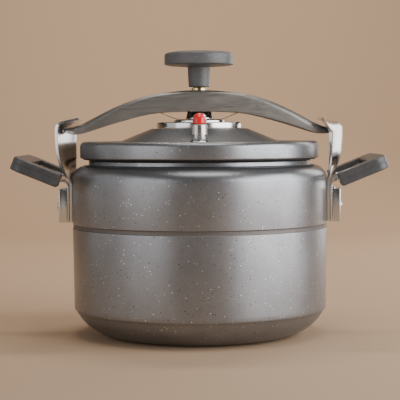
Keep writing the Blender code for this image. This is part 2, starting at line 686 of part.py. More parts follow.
def make_bow(finish, bow_axis):
    square = Matrix.Rotation(BOW_REST_TURN, 4, "Z")
    bow = add_object("clamp_bow", placed(bow_solid("clamp_bow", 0.0, 0.0), square), bow_axis,
                     finish["brushed_steel"])
    hollow = add_object("bow_hollow_cutter",
                        placed(bow_solid("bow_hollow_cutter", BOW_PLATE, 0.02), square), bow_axis)
    boolean(bow, hollow)
    hole = [(0.0, 0.2400), (BUSH_RADIUS + GAP, 0.2400), (BUSH_RADIUS + GAP, 0.2200),
            (0.0, 0.2200)]
    boolean(bow, add_object("bush_hole_cutter", turned("bush_hole_cutter", hole, 16), bow_axis))

    bore = SCREW_RADIUS + GAP
    collar_top = 0.2280
    bush = [(bore, 0.2332), (BUSH_RADIUS - 0.0005, 0.2332), (BUSH_RADIUS, 0.2327),
            (BUSH_RADIUS, collar_top), (0.0105, collar_top), (0.0105, 0.2238),
            (bore, 0.2238)]
    add_object("bow_bush", turned("bow_bush", bush, 16), bow_axis, finish["brass"])


def make_foot(finish, foot_axis):
    low = CAP_STEP_Z + 2.0 * GAP + LEAF_PLATE
    foot = [(0.0043, 0.2135), (0.0100, 0.2135), (0.0110, 0.2128), (0.0114, 0.2100),
            (0.0120, 0.2070), (0.0128, 0.2048), (0.0130, low), (0.0086, low),
            (0.0084, 0.2066), (0.0076, 0.2071), (0.0043, 0.2071)]
    add_object("pressure_foot", turned("pressure_foot", foot, 20), foot_axis,
               finish["polished_steel"])
    reach, rise, half_width = 0.0410, 0.0080, 0.0060
    rest = CAP_STEP_Z + GAP + LEAF_PLATE / 2
    bm = bmesh.new()
    lines = []
    stations = 14
    for step in range(stations + 1):
        x = reach * (2.0 * step / stations - 1.0)
        lift = rise * max((abs(x) - 0.0200) / (reach - 0.0200), 0.0) ** 1.15
        lines.append([bm.verts.new((x, y, rest + lift)) for y in (-half_width, half_width)])
    for before, after in zip(lines, lines[1:]):
        bm.faces.new((before[0], after[0], after[1], before[1]))
    leaf = add_object("leaf_spring", placed(to_mesh(bm, "leaf_spring"),
                                            Matrix.Rotation(BOW_REST_TURN, 4, "Z")),
                      foot_axis, finish["polished_steel"])
    thicken(leaf, LEAF_PLATE)


def make_screw(finish, screw_axis):
    groove = (0.2059, 0.2069)
    neck = 0.0040
    screw = [(0.0, 0.2575), (SCREW_RADIUS - 0.0006, 0.2575), (SCREW_RADIUS, 0.2569),
             (SCREW_RADIUS, 0.2141), (SCREW_RADIUS - 0.0003, 0.2138), (neck, 0.2138),
             (neck, groove[1]), (0.0032, groove[1]), (0.0032, groove[0]), (neck, groove[0]),
             (neck, 0.2052), (neck - 0.0006, 0.2046), (0.0, 0.2046)]
    add_object("clamp_screw", turned("clamp_screw", screw, 16), screw_axis,
               finish["polished_steel"])

    opening = 35.0
    ring = arc((0.0, 0.0), 0.0062, opening, 360.0 - opening, 12)
    ring += arc((0.0, 0.0), 0.0035, 360.0 - opening, opening, 12)
    add_object("foot_clip", extruded("foot_clip", ring, groove[0] + 0.0002, groove[1] - 0.0002),
               screw_axis, finish["brushed_steel"])

    insert = [(SCREW_RADIUS + GAP, 0.2520), (BUSH_RADIUS, 0.2520),
              (BUSH_RADIUS, KNOB_BOTTOM_Z - 0.0003), (SCREW_RADIUS + GAP, KNOB_BOTTOM_Z - 0.0003)]
    add_object("knob_insert", turned("knob_insert", insert, 16), screw_axis, finish["brass"])

    edge_high, edge_low = 0.2620, 0.2560
    knob = [(0.0, KNOB_TOP_Z), (0.0150, KNOB_TOP_Z - 0.0003), (0.0260, KNOB_TOP_Z - 0.0012),
            (0.0308, KNOB_TOP_Z - 0.0026), (0.0324, edge_high), (KNOB_RADIUS, 0.2598),
            (0.0324, 0.2572), (0.0308, edge_low - 0.0014), (0.0270, 0.2536),
            (0.0150, 0.2530), (0.0122, 0.2516), (0.0111, 0.2490), (0.0102, 0.2400),
            (0.0099, KNOB_BOTTOM_Z + 0.0010), (0.0090, KNOB_BOTTOM_Z),
            (BUSH_RADIUS + GAP, KNOB_BOTTOM_Z), (BUSH_RADIUS + GAP, 0.2523),
            (SCREW_RADIUS + GAP, 0.2523), (SCREW_RADIUS + GAP, 0.2578), (0.0, 0.2578)]
    add_object("clamp_knob", turned("clamp_knob", knob, 32), screw_axis,
               finish["dark_plastic"])


# ---------------------------------------------------------------- assembly
def main():
    clear_scene()
    finish = make_materials()
    sides = {}
    for side, turn in (("right", 0.0), ("left", math.pi)):
        side_empty = empty(f"{side}_side", turn=turn)
        sides[side] = make_side(side, side_empty, finish)
    make_pot(finish["stone_coat"], sides)

    lid_axis = empty("lid_axis")
    bow_axis = empty("bow_axis", parent=lid_axis)
    foot_axis = empty("foot_axis", parent=bow_axis)
    screw_axis = empty("screw_axis", parent=foot_axis)
    button_axis = empty("button_axis", (0.0, -VALVE_OFFSET, 0.0), 0.0, lid_axis)
    weight_axis = empty("weight_axis", (0.0, VALVE_OFFSET, 0.0), 0.0, lid_axis)
    make_lid(finish, lid_axis)
    make_safety_valve(finish, lid_axis, button_axis)
    make_regulator(finish, lid_axis, weight_axis)
    make_bow(finish, bow_axis)
    make_foot(finish, foot_axis)
    make_screw(finish, screw_axis)


main()
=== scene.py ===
import math

import bmesh
import bpy
from mathutils import Matrix, Vector


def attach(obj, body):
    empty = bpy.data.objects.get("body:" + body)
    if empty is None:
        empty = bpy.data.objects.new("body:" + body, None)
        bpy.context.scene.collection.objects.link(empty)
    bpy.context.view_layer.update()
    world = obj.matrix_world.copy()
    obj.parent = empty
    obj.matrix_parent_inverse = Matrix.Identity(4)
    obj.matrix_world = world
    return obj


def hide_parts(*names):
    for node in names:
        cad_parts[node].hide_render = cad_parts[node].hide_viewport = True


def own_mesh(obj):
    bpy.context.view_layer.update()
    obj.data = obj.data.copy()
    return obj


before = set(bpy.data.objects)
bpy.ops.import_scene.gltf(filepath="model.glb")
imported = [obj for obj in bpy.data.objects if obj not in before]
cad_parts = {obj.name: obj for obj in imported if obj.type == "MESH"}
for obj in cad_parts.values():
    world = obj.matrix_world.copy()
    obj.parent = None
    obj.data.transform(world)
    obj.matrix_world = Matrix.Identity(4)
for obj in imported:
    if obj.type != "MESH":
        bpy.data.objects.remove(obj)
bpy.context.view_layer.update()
scene = bpy.context.scene
roundTurn = Matrix.Rotation(math.pi, 4, "Z")   # the left side is the right side turned half a turn


# small tools for shapes

def newObject(name, mesh):
    piece = bpy.data.objects.new(name, mesh)
    scene.collection.objects.link(piece)
    return piece


def finishMesh(mesh, sharpAngle=32.0):
    mesh.shade_smooth()
    mesh.set_sharp_from_angle(angle=math.radians(sharpAngle))


def meshFrom(bm, name, sharpAngle=32.0):
    bmesh.ops.remove_doubles(bm, verts=bm.verts, dist=2e-7)
    bmesh.ops.recalc_face_normals(bm, faces=bm.faces)
    mesh = bpy.data.meshes.new(name)
    bm.to_mesh(mesh)
    bm.free()
    finishMesh(mesh, sharpAngle)
    return mesh


def applied(piece, sharpAngle=32.0):
    graph = bpy.context.evaluated_depsgraph_get()
    graph.update()
    baked = bpy.data.meshes.new_from_object(piece.evaluated_get(graph))
    baked.name = piece.name
    piece.modifiers.clear()
    piece.data = baked
    finishMesh(baked, sharpAngle)
    return piece


def arcPoints(centre, radius, start, end, steps):
    points = []
    for step in range(steps + 1):
        angle = math.radians(start + (end - start) * step / steps)
        points.append((centre[0] + radius * math.cos(angle), centre[1] + radius * math.sin(angle)))
    return points


def filleted(corners, steps=4, closed=False):   # corners are (r, z) or (r, z, fillet radius)
    points = []
    count = len(corners)
    for index, corner in enumerate(corners):
        here = Vector(corner[:2])
        fillet = corner[2] if len(corner) > 2 else 0.0
        atEnd = index in (0, count - 1) and not closed
        if fillet <= 0.0 or atEnd:
            points.append((here.x, here.y))
            continue
        back = Vector(corners[index - 1][:2]) - here
        ahead = Vector(corners[(index + 1) % count][:2]) - here
        half = back.angle(ahead) / 2
        if half > math.radians(88.5) or half < math.radians(2):
            points.append((here.x, here.y))
            continue
        reach = min(fillet / math.tan(half), back.length * 0.49, ahead.length * 0.49)
        radius = reach * math.tan(half)
        start, end = here + back.normalized() * reach, here + ahead.normalized() * reach
        middle = here + (back.normalized() + ahead.normalized()).normalized() * (
            radius / math.sin(half))
        for step in range(steps + 1):
            share = step / steps
            spoke = (start - middle).lerp(end - middle, share)
            if spoke.length > 0.0:
                spoke = spoke.normalized() * radius
            points.append(tuple(middle + spoke))
    return points


def turnedMesh(name, profile, sides, centre=(0.0, 0.0), lobes=0, lobeDepth=0.0, sharpAngle=32.0):
    onAxis = profile[0][0] <= 0.0 and profile[-1][0] <= 0.0
    bm = bmesh.new()
    rings = []
    for radius, height in profile:
        if radius <= 0.0:
            rings.append([bm.verts.new((centre[0], centre[1], height))] * sides)
            continue
        ring = []
        for side in range(sides):
            angle = math.tau * side / sides
            swell = radius - lobeDepth * (0.5 - 0.5 * math.cos(lobes * angle)) if lobes else radius
            ring.append(bm.verts.new((centre[0] + swell * math.cos(angle),
                                      centre[1] + swell * math.sin(angle), height)))
        rings.append(ring)
    pairs = list(zip(rings, rings[1:]))
    if not onAxis:
        pairs.append((rings[-1], rings[0]))
    for lower, upper in pairs:
        for side in range(sides):
            after = (side + 1) % sides
            loop = []
            for vert in (lower[side], lower[after], upper[after], upper[side]):
                if vert not in loop:
                    loop.append(vert)
            if len(loop) > 2:
                bm.faces.new(loop)
    return meshFrom(bm, name, sharpAngle)


def skinned(name, rings, sharpAngle=32.0, closedPath=False):
    bm = bmesh.new()
    loops = [[bm.verts.new(point) for point in ring] for ring in rings]
    pairs = list(zip(loops, loops[1:]))
    if closedPath:
        pairs.append((loops[-1], loops[0]))
    for lower, upper in pairs:
        for step in range(len(lower)):
            after = (step + 1) % len(lower)
            bm.faces.new((lower[step], lower[after], upper[after], upper[step]))
    if not closedPath:
        bm.faces.new(loops[0])
        bm.faces.new(loops[-1])
    return meshFrom(bm, name, sharpAngle)


def stripMesh(name, rows):   # an open grid of points
    bm = bmesh.new()
    grid = [[bm.verts.new(point) for point in row] for row in rows]
    for lower, upper in zip(grid, grid[1:]):
        for step in range(len(lower) - 1):
            bm.faces.new((lower[step], lower[step + 1], upper[step + 1], upper[step]))
    return meshFrom(bm, name)


def through(table, steps):   # a smooth run through the rows of a short table
    rows = []
    last = len(table) - 1
    for index in range(last):
        before = table[max(index - 1, 0)]
        here, ahead = table[index], table[index + 1]
        after = table[min(index + 2, last)]
        for step in range(steps):
            t = step / steps
            rows.append(tuple(
                0.5 * (2 * b + (c - a) * t + (2 * a - 5 * b + 4 * c - d) * t ** 2
                       + (3 * b - a - 3 * c + d) * t ** 3)
                for a, b, c, d in zip(before, here, ahead, after)))
    rows.append(tuple(table[last]))
    return rows


def plated(piece, thickness, edge=0.0004, segments=3):   # gives a sheet its thickness and soft edges
    wall = piece.modifiers.new("wall", "SOLIDIFY")
    wall.thickness = thickness
    wall.offset = 0.0
    wall.use_even_offset = True
    soften(piece, edge, segments, 55.0)
    return applied(piece)


def soften(piece, width, segments=3, angle=40.0):
    edge = piece.modifiers.new("edge", "BEVEL")
    edge.width = width
    edge.segments = segments
    edge.limit_method = "ANGLE"
    edge.angle_limit = math.radians(angle)
    edge.use_clamp_overlap = True


def cutBy(piece, tool, operation="DIFFERENCE"):
    cut = piece.modifiers.new("cut", "BOOLEAN")
    cut.operation = operation
    cut.solver = "EXACT"
    cut.object = tool
    applied(piece)
    bpy.data.objects.remove(tool, do_unlink=True)
    return piece


def joinedMesh(name, meshes):
    bm = bmesh.new()
    for mesh in meshes:
        bm.from_mesh(mesh)
    made = bpy.data.meshes.new(name)
    bm.to_mesh(made)
    bm.free()
    finishMesh(made)
    return made


def finished(piece, material, body, slot, *nodes):
    piece.data.materials.clear()
    piece.data.materials.append(material)
    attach(piece, body)
    if nodes:
        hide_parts(*nodes)
    return piece


# small tools for node trees

def addNode(tree, kind, inputs=None, **settings):
    made = tree.nodes.new(kind)
    for key, value in settings.items():
        setattr(made, key, value)
    for key, value in (inputs or {}).items():
        if isinstance(value, bpy.types.NodeSocket):
            tree.links.new(value, made.inputs[key])
        else:
            made.inputs[key].default_value = value
    return made


def calc(tree, operation, *values):
    made = addNode(tree, "ShaderNodeMath", operation=operation)
    for index, value in enumerate(values):
        if isinstance(value, bpy.types.NodeSocket):
            tree.links.new(value, made.inputs[index])
        else:
            made.inputs[index].default_value = value
    return made.outputs[0]


def ramped(tree, factor, stops):
    made = addNode(tree, "ShaderNodeValToRGB", {"Fac": factor})
    ramp = made.color_ramp
    while len(ramp.elements) < len(stops):
        ramp.elements.new(0.5)
    for element, (place, colour) in zip(ramp.elements, stops):
        element.position = place
        element.color = (*colour, 1.0) if isinstance(colour, tuple) else (colour,) * 3 + (1.0,)
    return made.outputs["Color"]


def mixed(tree, factor, first, second):
    made = addNode(tree, "ShaderNodeMix", data_type="RGBA")
    for index, value in ((0, factor), (6, first), (7, second)):
        if isinstance(value, bpy.types.NodeSocket):
            tree.links.new(value, made.inputs[index])
        else:
            made.inputs[index].default_value = (*value, 1.0) if isinstance(value, tuple) else value
    return made.outputs[2]


def startMaterial(name, metallic, **sockets):
    made = bpy.data.materials.new(name)
    made.use_nodes = True
    tree = made.node_tree
    shader = tree.nodes["Principled BSDF"]
    shader.inputs["Metallic"].default_value = metallic
    for key, value in sockets.items():
        shader.inputs[key.replace("_", " ")].default_value = value
    place = addNode(tree, "ShaderNodeTexCoord").outputs["Object"]
    return made, tree, shader, place


def stretched(tree, place, scale, centre):
    shifted = addNode(tree, "ShaderNodeMapping", {
        "Vector": place, "Location": tuple(-value for value in centre)})
    return addNode(tree, "ShaderNodeMapping", {
        "Vector": shifted.outputs["Vector"], "Scale": scale}).outputs["Vector"]


def noiseOf(tree, vector, scale, detail=3.0, roughness=0.5):
    return addNode(tree, "ShaderNodeTexNoise", {
        "Vector": vector, "Scale": scale, "Detail": detail, "Roughness": roughness}).outputs["Fac"]


def bumped(tree, shader, height, strength, distance):
    bump = addNode(tree, "ShaderNodeBump", {
        "Height": height, "Strength": strength, "Distance": distance})
    tree.links.new(bump.outputs["Normal"], shader.inputs["Normal"])


# the finishes, shared by the pieces below

stoneLook = {
    "ground": (0.27, 0.275, 0.288), "whiteSpeck": (0.88, 0.88, 0.88), "blackSpeck": (0.02, 0.02, 0.02),
    # the groove colour is a duller machined tone with painted shade for the recess
    "grooveToneAndShade": (0.13, 0.11, 0.095), "cells": 420.0, "roughness": (0.30, 0.39), "metallic": 0.90,
    "darkSpecks": (0.08, 0.22, 0.24, 0.013),   # smallest, largest, share of the cells, shift of the cells
    "lightSpecks": (0.08, 0.22, 0.20, 0.0),
}
steelLook = {
    "brushed": (0.34, 0.325, 0.305), "polished": (0.70, 0.69, 0.68), "brushedRoughness": (0.34, 0.46),
    "polishedRoughness": (0.14, 0.27), "latheLines": 2600.0, "straightLines": 900.0, "smears": 42.0,
}


def stoneCoat(size):   # dark granite-effect non-stick with fine light and dark specks
    look = stoneLook
    made, tree, shader, place = startMaterial("stoneCoat", look["metallic"])
    cloud = noiseOf(tree, place, 38.0, 4.0, 0.6)
    grain = noiseOf(tree, place, 900.0, 2.0, 0.6)
    both = calc(tree, "ADD", calc(tree, "MULTIPLY", cloud, 0.45), calc(tree, "MULTIPLY", grain, 0.55))
    ground = mixed(tree, ramped(tree, both, [(0.36, 0.0), (0.64, 1.0)]),
                   tuple(value * 0.86 for value in look["ground"]),
                   tuple(value * 1.12 for value in look["ground"]))

    def specks(small, large, share, shift):
        shifted = addNode(tree, "ShaderNodeMapping", {
            "Vector": place, "Location": (shift, shift * 0.7, 0.0)}).outputs["Vector"]
        cell = addNode(tree, "ShaderNodeTexVoronoi", {"Vector": shifted, "Scale": look["cells"]})
        chance = addNode(tree, "ShaderNodeSeparateColor", {"Color": cell.outputs["Color"]})
        chosen = calc(tree, "GREATER_THAN", chance.outputs[0], 1.0 - share)
        reach = calc(tree, "ADD", small, calc(tree, "MULTIPLY", chance.outputs[1], large - small))
        return calc(tree, "MULTIPLY", chosen, calc(tree, "LESS_THAN", cell.outputs["Distance"], reach))

    dark, light = specks(*look["darkSpecks"]), specks(*look["lightSpecks"])
    colour = mixed(tree, dark, ground, look["blackSpeck"])
    colour = mixed(tree, light, colour, look["whiteSpeck"])
    # darker and rougher in the groove band: painted shade standing in for the groove's dark reflection, over
    # a duller machined tone
    height = addNode(tree, "ShaderNodeSeparateXYZ", {"Vector": place}).outputs[2]
    away = calc(tree, "ABSOLUTE", calc(tree, "SUBTRACT", height, size["grooveZ"]))
    inGroove = addNode(tree, "ShaderNodeMapRange", {
        "Value": away, "From Min": size["grooveHalf"] - 0.0003, "From Max": size["grooveHalf"] + 0.0003,
        "To Min": 0.72, "To Max": 0.0}, interpolation_type="SMOOTHSTEP").outputs["Result"]
    colour = mixed(tree, inGroove, colour, look["grooveToneAndShade"])
    tree.links.new(colour, shader.inputs["Base Color"])
    low, high = look["roughness"]
    worn = noiseOf(tree, place, 9.0, 3.0)
    smooth = addNode(tree, "ShaderNodeMapRange", {
        "Value": worn, "From Min": 0.3, "From Max": 0.7, "To Min": low, "To Max": high}).outputs["Result"]
    tree.links.new(calc(tree, "ADD", smooth, calc(tree, "MULTIPLY", inGroove, 0.25)),
                   shader.inputs["Roughness"])
    bumped(tree, shader, calc(tree, "ADD", grain, calc(tree, "MULTIPLY", light, 0.6)), 0.10, 0.0002)
    return made


def steel(name, colour, rough, grain, centre=(0.0, 0.0, 0.0), circular=False, strength=0.10, smear=0.35):
    made, tree, shader, place = startMaterial(name, 1.0)
    if circular:   # lathe marks run round the axis
        local = stretched(tree, place, (1.0, 1.0, 1.0), centre)
        apart = addNode(tree, "ShaderNodeSeparateXYZ", {"Vector": local})
        radius = calc(tree, "SQRT", calc(tree, "ADD", calc(tree, "POWER", apart.outputs[0], 2.0),
                                         calc(tree, "POWER", apart.outputs[1], 2.0)))
        path = addNode(tree, "ShaderNodeCombineXYZ", {
            "X": radius, "Y": calc(tree, "MULTIPLY", apart.outputs[0], 0.02),
            "Z": apart.outputs[2]}).outputs["Vector"]
    else:
        path = stretched(tree, place, grain, centre)
    lines = noiseOf(tree, path, steelLook["latheLines" if circular else "straightLines"], 4.0, 0.65)
    smears = noiseOf(tree, place, steelLook["smears"], 4.0, 0.6)
    low, high = rough
    both = calc(tree, "ADD", calc(tree, "MULTIPLY", lines, 1.0 - smear),
                calc(tree, "MULTIPLY", smears, smear))
    tree.links.new(addNode(tree, "ShaderNodeMapRange", {
        "Value": both, "From Min": 0.36, "From Max": 0.64, "To Min": low, "To Max": high,
    }).outputs["Result"], shader.inputs["Roughness"])
    tree.links.new(mixed(tree, ramped(tree, lines, [(0.3, 0.0), (0.7, 1.0)]),
                         tuple(value * 0.88 for value in colour),
                         tuple(min(value * 1.08, 1.0) for value in colour)),
                   shader.inputs["Base Color"])
    bumped(tree, shader, lines, strength, 0.0001)
    return made


def moulded(name, colour, fleck, rough, scale=520.0, strength=0.12, coat=0.0):   # phenolic plastic and rubber
    made, tree, shader, place = startMaterial(name, 0.0, Coat_Weight=coat, Coat_Roughness=0.22)
    mottle = noiseOf(tree, place, 60.0, 5.0, 0.65)
    grain = noiseOf(tree, place, scale, 3.0, 0.6)
    base = mixed(tree, ramped(tree, mottle, [(0.36, 0.0), (0.66, 1.0)]),
                 tuple(value * 0.82 for value in colour), tuple(value * 1.22 for value in colour))
    base = mixed(tree, ramped(tree, grain, [(0.62, 0.0), (0.74, 1.0)]), base, fleck)
    tree.links.new(base, shader.inputs["Base Color"])
    low, high = rough
    tree.links.new(addNode(tree, "ShaderNodeMapRange", {
        "Value": mottle, "From Min": 0.3, "From Max": 0.7, "To Min": low, "To Max": high,
    }).outputs["Result"], shader.inputs["Roughness"])
    bumped(tree, shader, grain, strength, 0.00025)
    return made


bowSteel = steel("bowSteel", steelLook["brushed"], steelLook["brushedRoughness"], (0.03, 1.0, 1.0),
                 strength=0.06, smear=0.15)
strapSteel = steel("strapSteel", steelLook["polished"], steelLook["polishedRoughness"], (1.0, 1.0, 0.03),
                   strength=0.30)
frameSteel = steel("frameSteel", steelLook["polished"], (0.14, 0.26), (1.0, 0.08, 1.0))
capSteel = steel("capSteel", steelLook["polished"], (0.13, 0.22), None, circular=True, strength=0.05)
footSteel = steel("footSteel", steelLook["polished"], (0.03, 0.09), None, circular=True, strength=0.02)
screwSteel = steel("screwSteel", (0.56, 0.55, 0.53), (0.16, 0.30), None, circular=True)
springSteel = steel("springSteel", (0.60, 0.59, 0.57), (0.14, 0.28), (1.0, 1.0, 1.0))
turnedBrass = steel("turnedBrass", (0.66, 0.52, 0.28), (0.16, 0.30), None, circular=True)
darkBakelite = moulded("darkBakelite", (0.062, 0.064, 0.068), (0.17, 0.17, 0.175), (0.34, 0.46))
knobBakelite = moulded("knobBakelite", (0.105, 0.108, 0.112), (0.30, 0.30, 0.31), (0.40, 0.52), 620.0, 0.3)
redSilicone = moulded("redSilicone", (0.82, 0.022, 0.022), (0.86, 0.04, 0.035), (0.16, 0.26), 300.0, 0.03,
                      coat=0.35)
blackRubber = moulded("blackRubber", (0.020, 0.020, 0.021), (0.05, 0.05, 0.05), (0.62, 0.80), 700.0, 0.2)
print("scene: finishes ready")


# the pot: one pressed shell, walked from the inside floor over the mouth to the base

potSize = {
    "radius": 0.1206, "baseRadius": 0.0790, "corner": 0.0437, "wall": 0.0034, "floor": 0.0040,
    "shoulder": 0.0133, "shoulderZ": 0.1470, "neck": 0.1049, "mouth": 0.1013, "mouthZ": 0.1654,
    "grooveZ": 0.1036, "grooveHalf": 0.0021, "grooveDepth": 0.0007, "baseRings": 11, "sides": 192,
    "lowerStep": 0.0010,   # how much slimmer the wall is at the crease above the base
    "crease": ((0.0001, 0.0262), (0.0003, 0.0252), (0.0012, 0.0244)),   # inset and height
}
stoneFinish = stoneCoat(potSize)


def potProfile(size):
    radius, lower = size["radius"], size["radius"] - size["lowerStep"]
    inner = radius - size["wall"]
    bend = size["corner"] - size["floor"]
    shoulderX = radius - size["shoulder"]
    innerShoulder = size["shoulder"] - size["wall"]
    profile = [(0.0, size["floor"])]
    profile += arcPoints((inner - bend, size["corner"]), bend, -90.0, 0.0, 14)
    profile += [(inner, 0.09), (inner, size["shoulderZ"])]
    profile += arcPoints((shoulderX, size["shoulderZ"]), innerShoulder, 15.0, 90.0, 8)
    profile += filleted([(size["mouth"] + 0.0030, size["shoulderZ"] + innerShoulder),
                         (size["mouth"], size["shoulderZ"] + innerShoulder, 0.0018),
                         (size["mouth"], size["mouthZ"], 0.0012), (size["neck"], size["mouthZ"], 0.0014),
                         (size["neck"], size["shoulderZ"] + size["shoulder"] + 0.0004, 0.0010),
                         (shoulderX - 0.0008, size["shoulderZ"] + size["shoulder"])], 5)
    profile += arcPoints((shoulderX, size["shoulderZ"]), size["shoulder"], 86.0, 4.0, 18)
    half, depth = size["grooveHalf"], size["grooveDepth"]
    profile += filleted([(radius, 0.1400), (radius, size["grooveZ"] + half, 0.0008),
                         (radius - depth, size["grooveZ"] + half - 0.0005, 0.0003),
                         (radius - depth, size["grooveZ"] - half + 0.0005, 0.0003),
                         (radius - 0.0001, size["grooveZ"] - half, 0.0008), (lower, 0.0300)], 4)
    profile += [(lower - inset, z) for inset, z in size["crease"]]
    profile += arcPoints((size["baseRadius"], size["corner"]), size["corner"], -26.5, -90.0, 20)
    step = size["baseRadius"] / (size["baseRings"] + 1)
    for ring in range(size["baseRings"], 0, -1):   # shallow turned rings under the base
        middle = ring * step
        profile += [(middle + 0.0009, 0.0), (middle + 0.0005, 0.0003), (middle - 0.0005, 0.0003),
                    (middle - 0.0009, 0.0)]
    profile.append((0.0, 0.0))
    return profile


potBody = newObject("potBody", turnedMesh("potBody", potProfile(potSize), potSize["sides"], sharpAngle=40.0))
finished(potBody, stoneFinish, "pot", "stone_coat", "pot_body")
print("scene: pot ready")


# the lid: shell, gasket and the cap that takes the foot's load

lidSize = {
    "radius": 0.1130, "bottomZ": 0.1670, "rimZ": 0.1826, "topZ": 0.1947, "topRadius": 0.0455,
    "wall": 0.0035, "footRadius": 0.0870, "footZ": 0.1778, "valleyZ": 0.1752, "roofZ": 0.1750,
    "hole": 0.0063, "valley": (0.0896, 0.0930), "rimInner": 0.1022, "skirtInner": 0.1106,
    "gasketWall": 0.0972, "gasketWallZ": 0.1712, "underInner": 0.0915,
    "rimCorner": 0.0048, "bossZ": 0.1804, "bossRadius": 0.0100, "seatRadius": 0.0091, "valveAt": 0.0780,
    "sides": 192,
}


def lidProfile(size):
    slope = (size["topZ"] - size["footZ"]) / (size["footRadius"] - size["topRadius"])
    drop = size["wall"] * math.hypot(1.0, slope)
    underTop, underRadius, hole = size["topZ"] - size["wall"], size["topRadius"] - 0.0008, size["hole"]
    valleyIn, valleyOut = size["valley"]
    skirt, gasketWall = size["skirtInner"], size["gasketWall"]
    under = size["footZ"] - drop
    return filleted([
        (hole, underTop), (hole, size["topZ"]), (size["topRadius"], size["topZ"], 0.006),
        (size["footRadius"] + 0.0004, size["footZ"] - 0.0002, 0.006),
        (valleyIn, size["valleyZ"], 0.004), (valleyOut, size["valleyZ"], 0.004),
        (size["rimInner"], size["rimZ"], 0.0030), (size["radius"], size["rimZ"], size["rimCorner"]),
        (size["radius"], size["bottomZ"], 0.0014), (skirt, size["bottomZ"], 0.0006),
        (skirt, size["roofZ"], 0.0006), (gasketWall, size["roofZ"], 0.0004),
        (gasketWall, size["gasketWallZ"], 0.0008), (size["underInner"], size["gasketWallZ"], 0.0020),
        (size["footRadius"], under, 0.002),
        (underRadius, under + (size["footRadius"] - underRadius) * slope, 0.004),
        (underRadius - 0.003, underTop, 0.002), (hole, underTop)], 8)[:-1]


def valveStubs(name, profile, size):   # the same turned shape at both valve places
    return newObject(name, joinedMesh(name, [
        turnedMesh(name, profile, 64, (0.0, side * size["valveAt"])) for side in (-1.0, 1.0)]))


lidShell = newObject("lidShell", turnedMesh("lidShell", lidProfile(lidSize), lidSize["sides"]))
collar, seat, seatZ = lidSize["bossRadius"], lidSize["seatRadius"], lidSize["bossZ"]
cutBy(lidShell, valveStubs("collars", filleted([
    (0.0, seatZ), (collar, seatZ, 0.0005), (collar, 0.1741), (0.0, 0.1741)], 4), lidSize), "UNION")
cutBy(lidShell, valveStubs("seats", [
    (0.0, 0.19), (seat, 0.19), (seat, seatZ - 0.0001), (0.0041, seatZ - 0.0001), (0.0041, 0.17), (0.0, 0.17)],
    lidSize))
finishMesh(lidShell.data, 38.0)
finished(lidShell, stoneFinish, "lid", "stone_coat", "lid_shell")

gasketProfile = filleted([
    (0.0976, 0.1747, 0.0004), (0.1102, 0.1747, 0.0004), (0.1102, 0.1657, 0.0008), (0.1009, 0.1657, 0.0002),
    (0.1009, 0.1608, 0.0006), (0.0988, 0.1608, 0.0006), (0.0976, 0.1666, 0.0008), (0.0984, 0.1700, 0.0004)],
    4, closed=True)
lidGasket = newObject("lidGasket", turnedMesh("lidGasket", gasketProfile, 160))
finished(lidGasket, blackRubber, "lid", "black_rubber", "lid_gasket")

capProfile = filleted([
    (0.0, 0.2026), (0.0245, 0.2026, 0.0009), (0.0245, 0.2004, 0.0004), (0.0250, 0.2006, 0.0004),
    (0.0405, 0.2005, 0.0012), (0.0405, 0.1950, 0.0003), (0.0060, 0.1950), (0.0060, 0.1909, 0.0002),
    (0.0090, 0.1909, 0.0003), (0.0090, 0.1892, 0.0012), (0.0062, 0.1887, 0.0010), (0.0, 0.1887)], 5)
pressureCap = newObject("pressureCap", turnedMesh("pressureCap", capProfile, 128))
finished(pressureCap, capSteel, "lid", "polished_steel", "pressure_cap")
print("scene: lid ready")


# the clamp bow: a pressed channel, open underneath, with a brass bush

bowSize = {
    "turn": math.radians(4.0), "tip": 0.1282, "endHalf": 0.0125, "middleHalf": 0.0160, "plate": 0.0020,
    "top": ((0.0, 0.2306), (0.0380, 0.2277), (0.0600, 0.2225), (0.0800, 0.2148), (0.1000, 0.2048),
            (0.1110, 0.1991), (0.1180, 0.1962), (0.1282, 0.1946)),
    "low": ((0.0, 0.2106), (0.0300, 0.2100), (0.0500, 0.2076), (0.0760, 0.2009), (0.0950, 0.1951),
            (0.1080, 0.1909), (0.1180, 0.1893), (0.1282, 0.1915)),
    "straightSteps": 40, "noseSteps": 16, "cornerSteps": 9, "bushRadius": 0.0070, "bushGap": 0.0003,
}


def heightAt(points, x):   # a smooth line through (x, height) points
    last = len(points) - 1
    for index in range(last):
        (x0, z0), (x1, z1) = points[index], points[index + 1]
        if x <= x1 or index == last - 1:
            break
    before, after = points[max(index - 1, 0)], points[min(index + 2, last)]
    slope0 = (z1 - before[1]) / (x1 - before[0]) if index else 0.0
    slope1 = (after[1] - z0) / (after[0] - x0)
    width = x1 - x0
    t = min(max((x - x0) / width, 0.0), 1.0)
    return ((2 * t ** 3 - 3 * t ** 2 + 1) * z0 + (t ** 3 - 2 * t ** 2 + t) * width * slope0
            + (3 * t ** 2 - 2 * t ** 3) * z1 + (t ** 3 - t ** 2) * width * slope1)


def bowSection(size, x, inset):   # one arch-shaped line across the bow, open underneath
    along = abs(x)
    centre = size["tip"] - size["endHalf"]
    if along > centre:
        reach = size["endHalf"] - inset
        half = math.sqrt(max(reach ** 2 - (along - centre) ** 2, 0.0))
    else:
        half = size["endHalf"] - inset + (size["middleHalf"] - size["endHalf"]) * (
            1.0 - (along / centre) ** 2)
    top, low = heightAt(size["top"], along) - inset, heightAt(size["low"], along)
    corner = min(0.0035 + 0.0045 * (along / size["tip"]) ** 2 - inset * 0.5, half * 0.9, (top - low) * 0.8)
    right = [(half, low + (top - corner - low) * step / 5) for step in range(5)]
    right += arcPoints((half - corner, top - corner), corner, 0.0, 90.0, size["cornerSteps"])
    right += [((half - corner) * (1.0 - step / 4), top) for step in range(1, 4)]
    outline = right + [(0.0, top)] + [(-y, z) for y, z in reversed(right)]
    return [(x, y, z) for y, z in outline]


